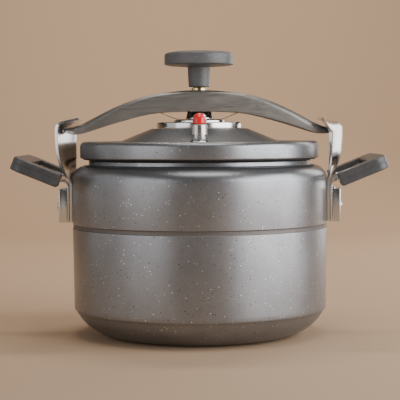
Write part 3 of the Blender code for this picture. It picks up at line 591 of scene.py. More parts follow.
def bowMesh(size):
    centre = size["tip"] - size["endHalf"]

    def stations(inset):
        reach = size["endHalf"] - inset
        line = [centre * step / size["straightSteps"] for step in range(size["straightSteps"])]
        line += [centre + reach * math.sin(math.radians(90.0 * step / size["noseSteps"]))
                 for step in range(size["noseSteps"] + 1)]
        return [-x for x in reversed(line)] + line[1:]

    bm = bmesh.new()
    skins = []
    for inset in (0.0, size["plate"]):
        skin = [[bm.verts.new(point) for point in bowSection(size, x, inset)] for x in stations(inset)]
        for before, after in zip(skin, skin[1:]):
            for step in range(len(before) - 1):
                bm.faces.new((before[step], before[step + 1], after[step + 1], after[step]))
        skins.append(skin)
    outer, inner = skins
    for before, after, innerBefore, innerAfter in zip(outer, outer[1:], inner, inner[1:]):
        for edge in (0, -1):
            bm.faces.new((before[edge], after[edge], innerAfter[edge], innerBefore[edge]))
    bmesh.ops.remove_doubles(bm, verts=bm.verts, dist=2e-7)
    bmesh.ops.dissolve_degenerate(bm, edges=bm.edges, dist=1e-7)
    return meshFrom(bm, "clampBow", 40.0)


clampBow = newObject("clampBow", bowMesh(bowSize))
soften(clampBow, 0.0005, 3, 50.0)
applied(clampBow, 40.0)
clampBow.data.transform(Matrix.Rotation(bowSize["turn"], 4, "Z"))
bushHole = bowSize["bushRadius"] + bowSize["bushGap"]
cutBy(clampBow, newObject("bushHole", turnedMesh("bushHole", [
    (0.0, 0.24), (bushHole, 0.24), (bushHole, 0.22), (0.0, 0.22)], 64)))
finishMesh(clampBow.data, 40.0)
finished(clampBow, bowSteel, "bow", "brushed_steel", "clamp_bow")

bushProfile = filleted([
    (0.0053, 0.2332, 0.0003), (0.0070, 0.2332, 0.0005), (0.0070, 0.2280, 0.0002), (0.0105, 0.2280, 0.0003),
    (0.0105, 0.2238, 0.0006), (0.0053, 0.2238, 0.0003)], 4, closed=True)
bowBush = newObject("bowBush", turnedMesh("bowBush", bushProfile, 64))
finished(bowBush, turnedBrass, "bow", "brass", "bow_bush")
print("scene: bow ready")


# the foot, its leaf spring, the screw and the knob

footProfile = filleted([
    (0.0043, 0.2071), (0.0043, 0.2135, 0.0003), (0.0106, 0.2135, 0.0010), (0.0113, 0.2102, 0.004),
    (0.0124, 0.2060, 0.003), (0.0130, 0.2046, 0.0004), (0.0130, 0.2038, 0.0002), (0.0086, 0.2038, 0.0002),
    (0.0082, 0.2068, 0.0008), (0.0076, 0.2071, 0.0003)], 6, closed=True)
pressureFoot = newObject("pressureFoot", turnedMesh("pressureFoot", footProfile, 96))
finished(pressureFoot, footSteel, "foot", "polished_steel", "pressure_foot")

leafSize = {"reach": 0.0410, "rise": 0.0080, "half": 0.0060, "plate": 0.0006, "z": 0.2032, "flat": 0.0200,
            "nose": 0.0040, "steps": 24}


def leafRows(size):
    rows, nose = [], size["nose"]
    for step in range(2 * size["steps"] + 1):
        x = size["reach"] * (step / float(size["steps"]) - 1.0)
        past = max((abs(x) - size["flat"]) / (size["reach"] - size["flat"]), 0.0)
        toTip = min(size["reach"] - abs(x), nose)   # rounded tips
        half = size["half"] - nose + math.sqrt(max(nose ** 2 - (nose - toTip) ** 2, 0.0))
        lift = size["rise"] * past ** 1.15
        rows.append([(x, half * (share / 3.0 - 1.0), size["z"] + lift) for share in range(7)])
    return rows


leafSpring = newObject("leafSpring", stripMesh("leafSpring", leafRows(leafSize)))
plated(leafSpring, leafSize["plate"], 0.00012, 2)
leafSpring.data.transform(Matrix.Rotation(bowSize["turn"], 4, "Z"))
finished(leafSpring, springSteel, "foot", "polished_steel", "leaf_spring")

screwSize = {"radius": 0.0050, "pitch": 0.0025, "depth": 0.0009, "low": 0.2141, "high": 0.2575,
             "sides": 48, "perPitch": 10, "fade": 0.0012}


def threadedScrew(size):   # a helical thread over a plain stem with a clip groove
    def crest(height, angle):
        phase = (height / size["pitch"] - angle / math.tau) % 1.0
        wave = abs(phase * 2.0 - 1.0)
        fade = min((height - size["low"]) / size["fade"], (size["high"] - height) / size["fade"], 1.0)
        return size["radius"] - size["depth"] * (1.0 - max(fade, 0.0) * min(wave * 1.35, 1.0))

    rings = []
    stem = filleted([(0.0028, 0.2046), (0.0040, 0.2052, 0.0003), (0.0040, 0.2059, 0.0001),
                     (0.0032, 0.2059, 0.0001), (0.0032, 0.2069, 0.0001), (0.0040, 0.2069, 0.0001),
                     (0.0040, 0.2139)], 3)
    for radius, height in stem:
        rings.append([(radius * math.cos(math.tau * side / size["sides"]),
                       radius * math.sin(math.tau * side / size["sides"]), height)
                      for side in range(size["sides"])])
    count = round((size["high"] - size["low"]) / size["pitch"] * size["perPitch"])
    for step in range(count + 1):
        height = size["low"] + (size["high"] - size["low"]) * step / count
        ring = []
        for side in range(size["sides"]):
            angle = math.tau * side / size["sides"]
            radius = crest(height, angle)
            ring.append((radius * math.cos(angle), radius * math.sin(angle), height))
        rings.append(ring)
    return skinned("clampScrew", rings, 45.0)


clampScrew = newObject("clampScrew", threadedScrew(screwSize))
finished(clampScrew, screwSteel, "screw", "polished_steel", "clamp_screw")

insertProfile = filleted([
    (0.0053, 0.2520), (0.0070, 0.2520, 0.0003), (0.0070, 0.2337, 0.0004), (0.0053, 0.2337, 0.0002)],
    3, closed=True)
knobInsert = newObject("knobInsert", turnedMesh("knobInsert", insertProfile, 64))
finished(knobInsert, turnedBrass, "screw", "brass", "knob_insert")

knobProfile = filleted([
    (0.0, 0.2676), (0.0150, 0.2675, 0.02), (0.0280, 0.2668, 0.02), (0.0327, 0.2650, 0.0022),
    (0.0328, 0.2549, 0.0010), (0.0290, 0.2540, 0.004), (0.0150, 0.2530, 0.003),
    (0.0108, 0.2527, 0.0009), (0.0102, 0.2380, 0.01), (0.0099, 0.2340, 0.0009), (0.0073, 0.2340, 0.0003),
    (0.0073, 0.2523), (0.0053, 0.2523), (0.0053, 0.2578), (0.0, 0.2578)], 8)
clampKnob = newObject("clampKnob", turnedMesh("clampKnob", knobProfile, 144))
finished(clampKnob, knobBakelite, "screw", "dark_plastic", "clamp_knob")
print("scene: screw and knob ready")


# hook straps, brackets, handles and covers, made on the right and turned for the left

strapSize = {
    "half": 0.0185, "plate": 0.0026, "wallRadius": 0.1222, "columns": 10, "edge": 0.0009,
    "splay": {"right": 0.0030, "left": 0.0},   # the right strap stands a little further out
    # closed edge x and z, open edge x and z, how far the row wraps the pot, share of the splay
    "rows": ((0.12079, 0.1070, 0.12079, 0.1070, 1.0, 0.0), (0.12079, 0.1400, 0.12079, 0.1400, 1.0, 0.0),
             (0.12079, 0.1436, 0.1210, 0.1436, 0.9, 0.0), (0.12079, 0.1476, 0.1230, 0.1476, 0.8, 0.1),
             (0.1203, 0.1514, 0.1254, 0.1514, 0.8, 0.4), (0.1199, 0.1590, 0.1294, 0.1590, 0.9, 0.8),
             (0.1197, 0.1685, 0.1321, 0.1685, 1.0, 1.0), (0.1197, 0.1790, 0.1335, 0.1790, 1.0, 1.0),
             (0.1197, 0.1895, 0.1339, 0.1940, 1.0, 1.0), (0.1196, 0.1917, 0.1334, 0.1968, 0.9, 0.9),
             (0.1190, 0.1943, 0.1313, 0.1992, 0.7, 0.7), (0.1174, 0.1980, 0.1257, 0.2012, 0.4, 0.4),
             (0.1156, 0.2017, 0.1178, 0.2028, 0.1, 0.1), (0.1145, 0.2037, 0.1130, 0.2039, 0.0, 0.0)),
}
bracketSize = {
    "half": 0.0190, "plate": 0.0020, "wallRadius": 0.1248, "bottomZ": 0.1070, "bend": 0.0080,
    "columns": 12, "edge": 0.0006,
}
handleSize = {
    "tilt": math.radians(22.0), "start": (0.1320, 0.1491), "half": 0.0560, "length": 0.0426, "tail": 0.0041,
    "under": 0.0068, "over": 0.0056, "corner": 0.0110, "fingerHalf": 0.0380, "fingerLength": 0.0280,
    "frame": 0.0024, "round": 0.0015,
}
coverSize = {"low": 0.1070, "high": 0.1380, "radius": 0.1336, "plate": 0.0015, "edge": 0.0007}
rivetSize = {"angle": math.radians(4.4), "z": 0.1140, "coverZ": 0.1215, "head": 0.0040, "dome": 0.0019,
             "gap": 0.0003, "innerGap": 0.0002}


def ruledRows(table, half, wallRadius, columns):
    edgeDepth = math.sqrt(wallRadius ** 2 - half ** 2)
    rows = []
    for closedX, closedZ, openX, openZ, wrap in table:
        row = []
        for column in range(columns + 1):
            share = column / columns
            y = half * (2.0 * share - 1.0)
            bulge = wrap * (math.sqrt(wallRadius ** 2 - y ** 2) - edgeDepth)
            row.append((closedX + (openX - closedX) * share + bulge, y,
                        closedZ + (openZ - closedZ) * share))
        rows.append(row)
    return rows


def strapMesh(size, side):
    out = size["splay"][side]
    table = [(closedX + out * share, closedZ, openX + out * share, openZ, wrap)
             for closedX, closedZ, openX, openZ, wrap, share in size["rows"]]
    table = table[:1] + through(table[1:], 5)
    return stripMesh("hookStrap", ruledRows(table, size["half"], size["wallRadius"], size["columns"]))


def bracketMesh(size, handle):
    radius, middle = size["bend"], size["wallRadius"]
    wall = math.sqrt(middle ** 2 - size["half"] ** 2)
    slope = math.tan(handle["tilt"])
    startX, startZ = handle["start"]
    bendX = middle + radius - radius * math.sin(handle["tilt"])
    bendZ = startZ + (bendX - startX) * slope - radius * math.cos(handle["tilt"])
    table = [(wall, size["bottomZ"], wall, size["bottomZ"], 1.0)]
    steps = 14
    for step in range(steps + 1):
        share = step / steps
        angle = math.pi - share * (math.pi / 2 - handle["tilt"])
        x = middle + radius + radius * math.cos(angle) - (middle - wall) * (1.0 - share)
        z = bendZ + radius * math.sin(angle)
        table.append((x, z, x, z, 1.0 - share))
    endX, endZ = startX - 0.0015, startZ - 0.0015 * slope
    table.append((endX, endZ, endX, endZ, 0.0))
    return stripMesh("bracket", ruledRows(table, size["half"], middle, size["columns"]))


def tilted(handle):   # from the handle's own plane into the scene
    return (Matrix.Translation((handle["start"][0], 0.0, handle["start"][1]))
            @ Matrix.Rotation(-handle["tilt"], 4, "Y"))


def frameLoopMesh(handle):   # the steel loop that the grip is moulded round
    outer = filleted([(-0.0060, -0.0480), (0.0360, -0.0480, 0.006), (0.0360, 0.0480, 0.006),
                      (-0.0060, 0.0480)], 8, closed=True)
    near, far, side = 0.0010, handle["fingerLength"] - 0.0008, handle["fingerHalf"] - 0.0008
    window = filleted([(near, -side, 0.003), (far, -side, 0.003), (far, side, 0.003), (near, side, 0.003)],
                      8, closed=True)

    def evened(outline, count):   # the same number of points, spaced evenly along the line
        closed = [Vector(point) for point in outline] + [Vector(outline[0])]
        lengths = [0.0]
        for before, after in zip(closed, closed[1:]):
            lengths.append(lengths[-1] + (after - before).length)
        points, index = [], 0
        for step in range(count):
            goal = lengths[-1] * step / count
            while lengths[index + 1] < goal:
                index += 1
            share = (goal - lengths[index]) / max(lengths[index + 1] - lengths[index], 1e-9)
            points.append(tuple(closed[index].lerp(closed[index + 1], share)))
        return points

    thick = handle["frame"] / 2
    outerLine, windowLine = evened(outer, 120), evened(window, 120)
    rings = [[(x, y, z) for x, y in line]
             for line, z in ((outerLine, -thick), (outerLine, thick), (windowLine, thick),
                             (windowLine, -thick))]
    return skinned("frameLoop", rings, closedPath=True)


def gripOutline(handle):
    corner, inner = handle["corner"], 0.0040
    half, length, tail, finger = handle["half"], handle["length"], -handle["tail"], handle["fingerHalf"]
    reach = handle["fingerLength"]
    outline = [(tail, half), (length, half, corner), (length, -half, corner), (tail, -half),
               (tail, -finger), (reach, -finger, inner), (reach, finger, inner), (tail, finger)]
    return filleted(outline, 12, closed=True)


def insetOutline(outline, amount):
    count = len(outline)
    moved = []
    for index in range(count):
        before, here = Vector(outline[index - 1]), Vector(outline[index])
        after = Vector(outline[(index + 1) % count])
        first, second = (here - before).normalized(), (after - here).normalized()
        firstSide, secondSide = Vector((first.y, -first.x)), Vector((second.y, -second.x))
        side = (firstSide + secondSide).normalized()
        moved.append(tuple(here + side * (amount / max(side.dot(firstSide), 0.3))))
    return moved


def gripMesh(handle):
    outline = gripOutline(handle)
    under, over, radius = -handle["under"], handle["over"], handle["round"]
    line = []   # inset and height up the side of the grip, with a fine parting line
    for step in range(8):
        angle = math.radians(90.0 * step / 7)
        line.append((radius * (1.0 - math.sin(angle)), under + radius * (1.0 - math.cos(angle))))
    line += [(0.0, -0.0004), (0.00012, -0.0002), (0.00012, 0.0), (0.0, 0.0002)]
    for step in range(8):
        angle = math.radians(90.0 * step / 7)
        line.append((radius * (1.0 - math.cos(angle)), over - radius * (1.0 - math.sin(angle))))
    rings = [[(x, y, z) for x, y in insetOutline(outline, inset)] for inset, z in line]
    return skinned("grip", rings, 40.0)


def coverMesh(size, bracket):
    back = bracket["wallRadius"] + bracket["plate"] / 2 + 0.0003
    half = math.degrees(math.asin(bracket["half"] / bracket["wallRadius"]))
    thin = math.degrees(size["plate"] / size["radius"])
    front, inside = size["radius"], size["radius"] - size["plate"]

    def polar(radius, angle):
        return (radius * math.cos(math.radians(angle)), radius * math.sin(math.radians(angle)))

    outline = [polar(back, -half) + (0.0002,), polar(front, -half) + (0.0026,)]
    outline += [point + (0.0,) for point in arcPoints((0.0, 0.0), front, 0.8 - half, half - 0.8, 16)]
    outline += [polar(front, half) + (0.0026,), polar(back, half) + (0.0002,),
                polar(back, half - thin) + (0.0002,), polar(inside, half - thin) + (0.0012,)]
    outline += [point + (0.0,) for point in arcPoints((0.0, 0.0), inside, half - thin - 0.8,
                                                      thin + 0.8 - half, 16)]
    outline += [polar(inside, thin - half) + (0.0012,), polar(back, thin - half) + (0.0002,)]
    line = filleted(outline, 5, closed=True)
    rings = [[(x, y, z) for x, y in line] for z in (size["low"], size["high"])]
    return skinned("cover", rings)


def makeSide(side, turn):
    strap = newObject(side + "HookStrap", strapMesh(strapSize, side))
    plated(strap, strapSize["plate"], strapSize["edge"], 4)
    bracket = newObject(side + "Bracket", bracketMesh(bracketSize, handleSize))
    plated(bracket, bracketSize["plate"], bracketSize["edge"])
    loop = newObject(side + "FrameLoop", frameLoopMesh(handleSize))
    soften(loop, 0.0004, 2, 55.0)
    applied(loop)
    loop.data.transform(tilted(handleSize))
    bracket.data = joinedMesh(side + "HandleBracket", [bracket.data, loop.data])
    bpy.data.objects.remove(loop, do_unlink=True)
    grip = newObject(side + "HandleGrip", gripMesh(handleSize))
    grip.data.transform(tilted(handleSize))
    cover = newObject(side + "BracketCover", coverMesh(coverSize, bracketSize))
    soften(cover, coverSize["edge"], 3, 55.0)
    applied(cover)
    for piece, finish, slot, node in (
            (strap, strapSteel, "polished_steel", "_hook_strap"),
            (bracket, frameSteel, "polished_steel", "_handle_bracket"),
            (grip, darkBakelite, "dark_plastic", "_handle_grip"),
            (cover, strapSteel, "polished_steel", "_bracket_cover")):
        piece.data.transform(turn)
        finished(piece, finish, "pot", slot, side + node)


makeSide("right", Matrix.Identity(4))
makeSide("left", roundTurn)
print("scene: hooks and handles ready")


# rivets and the valve spring, made with geometry nodes

def newTree(name, inputs):
    tree = bpy.data.node_groups.new(name, "GeometryNodeTree")
    tree.interface.new_socket("Geometry", in_out="INPUT", socket_type="NodeSocketGeometry")
    tree.interface.new_socket("Geometry", in_out="OUTPUT", socket_type="NodeSocketGeometry")
    for label, kind in inputs:
        tree.interface.new_socket(label, in_out="INPUT", socket_type=kind)
    start = tree.nodes.new("NodeGroupInput")
    return tree, start.outputs


def closeTree(tree, geometry, material):   # ends every tree
    real = addNode(tree, "GeometryNodeRealizeInstances", {"Geometry": geometry})
    painted = addNode(tree, "GeometryNodeSetMaterial", {
        "Geometry": real.outputs["Geometry"], "Material": material})
    out = tree.nodes.new("NodeGroupOutput")
    tree.links.new(painted.outputs["Geometry"], out.inputs["Geometry"])


def grownFrom(piece, tree, values):
    grow = piece.modifiers.new("grow", "NODES")
    grow.node_group = tree
    for item in tree.interface.items_tree:
        if item.in_out == "INPUT" and item.name in values:
            grow[item.identifier] = values[item.name]
    return applied(piece)


def rivetTree():   # a domed head on every point, turned to its direction
    tree, given = newTree("rivetRow", [("Head Radius", "NodeSocketFloat"), ("Dome Height", "NodeSocketFloat"),
                                       ("Finish", "NodeSocketMaterial")])
    ball = addNode(tree, "GeometryNodeMeshUVSphere", {"Segments": 32, "Rings": 16, "Radius": 1.0})
    squashed = addNode(tree, "ShaderNodeCombineXYZ", {
        "X": given["Head Radius"], "Y": given["Head Radius"], "Z": given["Dome Height"]})
    dome = addNode(tree, "GeometryNodeTransform", {
        "Geometry": ball.outputs["Mesh"], "Scale": squashed.outputs["Vector"]})
    smooth = addNode(tree, "GeometryNodeSetShadeSmooth", {"Geometry": dome.outputs["Geometry"]})
    facing = addNode(tree, "GeometryNodeInputNamedAttribute", {"Name": "facing"}, data_type="FLOAT_VECTOR")
    aligned = addNode(tree, "FunctionNodeAlignRotationToVector", {
        "Vector": facing.outputs["Attribute"]}, axis="Z")
    rivets = addNode(tree, "GeometryNodeInstanceOnPoints", {
        "Points": given["Geometry"], "Instance": smooth.outputs["Geometry"],
        "Rotation": aligned.outputs["Rotation"]})
    closeTree(tree, rivets.outputs["Instances"], given["Finish"])
    return tree


def rivetPoints(name, places):   # places are (position, facing)
    mesh = bpy.data.meshes.new(name)
    mesh.from_pydata([place for place, facing in places], [], [])
    held = mesh.attributes.new("facing", "FLOAT_VECTOR", "POINT")
    for item, (place, facing) in zip(held.data, places):
        item.vector = facing
    return newObject(name, mesh)


rivets = rivetTree()
bracketFace = bracketSize["wallRadius"] + bracketSize["plate"] / 2 + rivetSize["gap"]
coverFace = coverSize["radius"] + rivetSize["gap"]
inward = potSize["radius"] - potSize["wall"] - rivetSize["innerGap"]
for side, offset in (("right", 0.0), ("left", math.pi)):
    for label, angle, height, face in (("LowerRivet", -rivetSize["angle"], rivetSize["z"], bracketFace),
                                       ("UpperRivet", rivetSize["angle"], rivetSize["z"], bracketFace),
                                       ("CoverRivet", 0.0, rivetSize["coverZ"], coverFace)):
        out = Vector((math.cos(angle + offset), math.sin(angle + offset), 0.0))
        row = rivetPoints(side + label, [(out * face + Vector((0.0, 0.0, height)), out),
                                         (out * inward + Vector((0.0, 0.0, height)), -out)])
        grownFrom(row, rivets, {"Head Radius": rivetSize["head"], "Dome Height": rivetSize["dome"],
                                "Finish": capSteel})
        node = side + "_" + label.replace("Rivet", "").lower() + "_rivet"
        finished(row, strapSteel, "pot", "polished_steel", node)

valveSize = {
    "y": -0.0780, "wire": 0.0004, "coil": 0.0034, "springLow": 0.1894, "springHigh": 0.1959, "turns": 4.5,
    "portZ": 0.1880, "portRadius": 0.0009, "domeRadius": 0.0059, "domeCentre": 0.2010, "domeTop": 0.2084,
}
valveAt = (0.0, valveSize["y"])


def springTree():   # a coil swept with round wire
    tree, given = newTree("valveCoil", [("Turns", "NodeSocketFloat"), ("Coil Radius", "NodeSocketFloat"),
                                        ("Height", "NodeSocketFloat"), ("Wire", "NodeSocketFloat"),
                                        ("Finish", "NodeSocketMaterial")])
    line = addNode(tree, "GeometryNodeCurveSpiral", {
        "Resolution": 32, "Rotations": given["Turns"], "Start Radius": given["Coil Radius"],
        "End Radius": given["Coil Radius"], "Height": given["Height"]})
    wireRing = addNode(tree, "GeometryNodeCurvePrimitiveCircle", {"Resolution": 10, "Radius": given["Wire"]})
    swept = addNode(tree, "GeometryNodeCurveToMesh", {
        "Curve": line.outputs["Curve"], "Profile Curve": wireRing.outputs["Curve"], "Fill Caps": True})
    closeTree(tree, swept.outputs["Mesh"], given["Finish"])
    return tree


valveSpring = newObject("safetyValveSpring", bpy.data.meshes.new("safetyValveSpring"))
wire = valveSize["wire"]
grownFrom(valveSpring, springTree(), {
    "Turns": valveSize["turns"], "Coil Radius": valveSize["coil"], "Wire": wire,
    "Height": valveSize["springHigh"] - valveSize["springLow"] - 2.0 * wire, "Finish": springSteel})
valveSpring.data.transform(Matrix.Translation((0.0, valveSize["y"], valveSize["springLow"] + wire)))
finished(valveSpring, springSteel, "lid", "polished_steel", "safety_valve_spring")
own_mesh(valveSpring)   # the spring keeps a mesh of its own
print("scene: rivets and spring ready")


# the safety valve at the front and the weight valve at the back

valveSteel = steel("valveSteel", (0.50, 0.485, 0.47), (0.20, 0.30), None, (0.0, valveSize["y"], 0.0),
                   circular=True, strength=0.05)
weightSteel = steel("weightSteel", steelLook["polished"], (0.08, 0.20), None, (0.0, -valveSize["y"], 0.0),
                    circular=True, strength=0.08)


def chamferedNut(name, flats, bore, low, high, centre):
    rings = []
    sides, crown = 96, flats / 2 * 1.03
    for radiusLimit, height, drop in ((crown, low, 0.0), (1.0, low, 1.0), (1.0, high, -1.0),
                                      (crown, high, 0.0)):
        ring = []
        for side in range(sides):
            angle = math.tau * side / sides
            within = (angle + math.pi / 6) % (math.pi / 3) - math.pi / 6
            corner = flats / 2 / math.cos(within)
            past = max(corner - crown, 0.0) * 0.577
            radius = min(corner, radiusLimit)
            ring.append((centre[0] + radius * math.cos(angle), centre[1] + radius * math.sin(angle),
                         height + drop * past))
        rings.append(ring)
    for height in (high, low):
        rings.append([(centre[0] + bore * math.cos(math.tau * side / sides),
                       centre[1] + bore * math.sin(math.tau * side / sides), height)
                      for side in range(sides)])
    return newObject(name, skinned(name, rings, 25.0, closedPath=True))


valveBodyProfile = filleted([
    (0.0052, 0.1866), (0.0052, 0.1981, 0.0003), (0.0070, 0.1981, 0.0006), (0.0072, 0.1900, 0.02),
    (0.0070, 0.1838, 0.0008), (0.0038, 0.1838), (0.0038, 0.1690, 0.0003), (0.0016, 0.1690, 0.0002),
    (0.0016, 0.1866)], 6, closed=True)
valveBody = newObject("safetyValveBody", turnedMesh("safetyValveBody", valveBodyProfile, 72, valveAt))
ports = []
for turn in (45.0, 135.0):
    port = turnedMesh("port", [(0.0, -0.009), (valveSize["portRadius"], -0.009),
                               (valveSize["portRadius"], 0.009), (0.0, 0.009)], 20)
    port.transform(Matrix.Translation((0.0, valveSize["y"], valveSize["portZ"]))
                   @ Matrix.Rotation(math.radians(turn), 4, "Z") @ Matrix.Rotation(math.pi / 2, 4, "Y"))
    ports.append(port)
cutBy(valveBody, newObject("ports", joinedMesh("ports", ports)))
finished(valveBody, valveSteel, "lid", "polished_steel", "safety_valve_body")

nutSize = {   # across the flats, lower face, upper face
    "bore": 0.0042, "nut": (0.0116, 0.1807, 0.1835), "locknut": (0.0130, 0.1699, 0.1721),
}
flats, low, high = nutSize["nut"]
valveNut = chamferedNut("safetyValveNut", flats, nutSize["bore"], low, high, valveAt)
finished(valveNut, valveSteel, "lid", "polished_steel", "safety_valve_nut")
for name, node, y, finish in (("safetyValveLocknut", "safety_valve_locknut", valveSize["y"], valveSteel),
                              ("steamVentLocknut", "steam_vent_locknut", -valveSize["y"], weightSteel)):
    flats, low, high = nutSize["locknut"]
    finished(chamferedNut(name, flats, nutSize["bore"], low, high, (0.0, y)), finish, "lid",
             "polished_steel", node)
for name, node, y in (("safetyValveWasher", "safety_valve_washer", valveSize["y"]),
                      ("steamVentWasher", "steam_vent_washer", -valveSize["y"])):
    ring = turnedMesh(name, filleted([(0.0042, 0.1737), (0.0076, 0.1737, 0.0003), (0.0076, 0.1724, 0.0003),
                                      (0.0042, 0.1724)], 3, closed=True), 48, (0.0, y))
    finished(newObject(name, ring), blackRubber, "lid", "black_rubber", node)
retainer = turnedMesh("safetyValveRetainer", filleted([
    (0.0018, 0.1976, 0.0002), (0.0049, 0.1976, 0.0002), (0.0049, 0.1962, 0.0002), (0.0018, 0.1962, 0.0002)],
    3, closed=True), 48, valveAt)
finished(newObject("safetyValveRetainer", retainer), valveSteel, "lid", "polished_steel",
         "safety_valve_retainer")

stemProfile = filleted([
    (0.0, 0.2030), (0.0014, 0.2030, 0.0003), (0.0014, 0.1890, 0.0001), (0.0045, 0.1890, 0.0002),
    (0.0045, 0.1878, 0.0002), (0.0024, 0.1869, 0.0003), (0.0, 0.1869)], 4)
valveStem = newObject("safetyValveStem", turnedMesh("safetyValveStem", stemProfile, 40, valveAt))
finished(valveStem, valveSteel, "valve_button", "polished_steel", "safety_valve_stem")

domeCentre = valveSize["domeCentre"]
domeProfile = [(valveSize["domeRadius"] * math.sin(math.radians(turn)),
                domeCentre + (valveSize["domeTop"] - domeCentre) * math.cos(math.radians(turn)))
               for turn in (0, 6, 12, 18, 24, 30, 37, 44, 51, 58, 65, 72, 78, 84, 90)]
domeProfile += filleted([(0.0059, 0.2004), (0.0059, 0.1990, 0.0008), (0.0053, 0.1984, 0.0006),
                         (0.0017, 0.1984, 0.0003), (0.0017, 0.2033)], 4) + [(0.0, 0.2033)]
valveButton = newObject("safetyValveButton", turnedMesh(
    "safetyValveButton", domeProfile, 96, valveAt, lobes=6, lobeDepth=0.00012))
finished(valveButton, redSilicone, "valve_button", "red_silicone", "safety_valve_button")

weightAt = (0.0, -valveSize["y"])
pipeProfile = filleted([
    (0.0012, 0.1985), (0.0022, 0.1985, 0.0003), (0.0036, 0.1950, 0.001), (0.0036, 0.1850, 0.0003),
    (0.0070, 0.1850, 0.0004), (0.0070, 0.1807, 0.0003), (0.0038, 0.1807), (0.0038, 0.1690, 0.0003),
    (0.0012, 0.1690)], 4, closed=True)
finished(newObject("steamVentPipe", turnedMesh("steamVentPipe", pipeProfile, 56, weightAt)),
         weightSteel, "lid", "polished_steel", "steam_vent_pipe")
weightProfile = filleted([
    (0.0, 0.2125), (0.0048, 0.2125, 0.0004), (0.0048, 0.2060, 0.0003), (0.0110, 0.2060, 0.0011),
    (0.0110, 0.2012, 0.0003), (0.0105, 0.2010, 0.0002), (0.0105, 0.2002, 0.0002), (0.0110, 0.2000, 0.0003),
    (0.0110, 0.1878, 0.0009), (0.0046, 0.1878, 0.0004), (0.0044, 0.1955), (0.0030, 0.1990), (0.0, 0.1990)], 5)
finished(newObject("regulatorWeight", turnedMesh("regulatorWeight", weightProfile, 80, weightAt)),
         weightSteel, "weight", "polished_steel", "regulator_weight")
weightCapProfile = filleted([
    (0.0, 0.2160), (0.0070, 0.2156, 0.006), (0.0112, 0.2134, 0.003), (0.0108, 0.2063, 0.0006),
    (0.0051, 0.2063, 0.0002), (0.0051, 0.2128), (0.0, 0.2128)], 6)
finished(newObject("regulatorCap", turnedMesh("regulatorCap", weightCapProfile, 96, weightAt, lobes=24,
                                              lobeDepth=0.0003)),
         darkBakelite, "weight", "dark_plastic", "regulator_cap")

clipSize = {"outer": 0.0062, "inner": 0.0035, "gap": 35.0, "low": 0.2061, "high": 0.2067, "steps": 40}
clipEnd = 360.0 - clipSize["gap"]
clipLine = (arcPoints((0.0, 0.0), clipSize["outer"], clipSize["gap"], clipEnd, clipSize["steps"])
            + arcPoints((0.0, 0.0), clipSize["inner"], clipEnd, clipSize["gap"], clipSize["steps"]))
footClip = newObject("footClip", skinned("footClip", [[(x, y, z) for x, y in clipLine]
                                                      for z in (clipSize["low"], clipSize["high"])]))
soften(footClip, 0.0001, 2, 50.0)
applied(footClip)
finished(footClip, springSteel, "screw", "brushed_steel", "foot_clip")
print("scene: valves ready")


# floor, light and camera

studio = {
    "floor": (0.49, 0.335, 0.215), "sweepStart": 1.1, "sweepRadius": 0.9, "wallTop": 2.6, "halfWidth": 4.0,
    "eyeHeight": 0.1920, "distance": 1.2400, "pitch": 3.02, "roll": 0.28, "lens": 117.3, "aimX": 0.0003,
    "sensor": 36.0, "near": 0.05, "far": 20.0, "room": (0.50, 0.48, 0.45), "roomStrength": 0.16,
}


def sweptFloor(size):
    line = [(-3.0, 0.0), (size["sweepStart"], 0.0)]
    line += [(y, z) for y, z in arcPoints((size["sweepStart"], size["sweepRadius"]), size["sweepRadius"],
                                          -84.0, 0.0, 28)]
    line.append((size["sweepStart"] + size["sweepRadius"], size["wallTop"]))
    rows = [[(x, y, z) for x in (-size["halfWidth"], 0.0, size["halfWidth"])] for y, z in line]
    return stripMesh("floorSweep", rows)


floor = newObject("floorSweep", sweptFloor(studio))
paper, paperTree, paperShader, paperPlace = startMaterial("palePaper", 0.0, Roughness=0.75)
paperGrain = noiseOf(paperTree, paperPlace, 160.0, 3.0)
paperTree.links.new(mixed(paperTree, paperGrain, tuple(value * 0.97 for value in studio["floor"]),
                          studio["floor"]), paperShader.inputs["Base Color"])
bumped(paperTree, paperShader, paperGrain, 0.05, 0.0005)
floor.data.materials.append(paper)

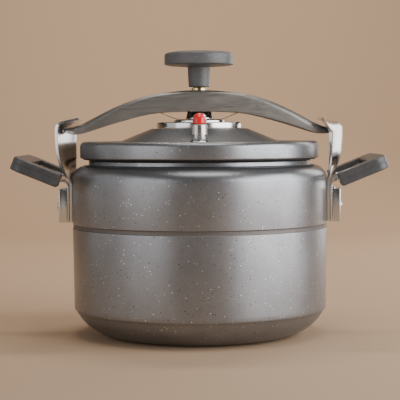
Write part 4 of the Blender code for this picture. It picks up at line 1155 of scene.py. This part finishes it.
lamps = {   # where it stands, where it points, width, height, watts, colour
    "keyRight": ((1.30, -0.90, 0.55), (0.0, -0.90, 0.35), 2.10, 1.20, 44.5, (0.97, 0.98, 1.0)),
    "fillLeft": ((-1.30, -1.68, 0.55), (0.0, -1.68, 0.35), 2.10, 1.20, 14.5, (0.97, 0.98, 1.0)),
    "edgeLeft": ((-1.30, -0.02, 0.55), (0.0, -0.02, 0.35), 1.20, 1.20, 2.6, (0.97, 0.98, 1.0)),
    "rimRight": ((0.95, 1.05, 0.45), (0.0, 0.0, 0.20), 0.60, 1.10, 6.5, (1.0, 1.0, 1.0)),
    "lowLeft": ((-0.18, -1.55, 0.12), (0.13, 0.0, 0.12), 0.16, 0.23, 0.06, (1.0, 1.0, 1.0)),
    "lowRight": ((0.18, -1.55, 0.12), (-0.13, 0.0, 0.12), 0.16, 0.23, 0.06, (1.0, 1.0, 1.0)),
    "topSoft": ((0.12, -0.60, 1.60), (0.12, -0.55, 0.0), 0.90, 0.70, 7.5, (1.0, 0.97, 0.92)),
    "backWash": ((0.0, 0.55, 1.60), (0.0, 1.9, 0.50), 0.90, 0.60, 26.0, (1.0, 0.93, 0.84)),
}
for name, (place, aim, width, height, watts, colour) in lamps.items():
    lamp = bpy.data.lights.new(name, "AREA")
    lamp.shape = "RECTANGLE"
    lamp.size, lamp.size_y = width, height
    lamp.energy = watts
    lamp.color = colour
    stand = bpy.data.objects.new(name, lamp)
    stand.location = place
    stand.rotation_euler = (Vector(aim) - Vector(place)).to_track_quat("-Z", "Y").to_euler()
    scene.collection.objects.link(stand)

room = bpy.data.worlds.new("softRoom")
room.use_nodes = True
room.node_tree.nodes["Background"].inputs["Color"].default_value = (*studio["room"], 1.0)
room.node_tree.nodes["Background"].inputs["Strength"].default_value = studio["roomStrength"]
scene.world = room

cameraData = bpy.data.cameras.new("camera")
cameraData.sensor_width = studio["sensor"]
cameraData.lens = studio["lens"]
cameraData.clip_start, cameraData.clip_end = studio["near"], studio["far"]
camera = bpy.data.objects.new("camera", cameraData)
camera.matrix_world = (Matrix.Translation((studio["aimX"], -studio["distance"], studio["eyeHeight"]))
                       @ Matrix.Rotation(math.radians(90.0 - studio["pitch"]), 4, "X")
                       @ Matrix.Rotation(math.radians(-studio["roll"]), 4, "Z"))
scene.collection.objects.link(camera)
scene.camera = camera
print("scene: studio ready")
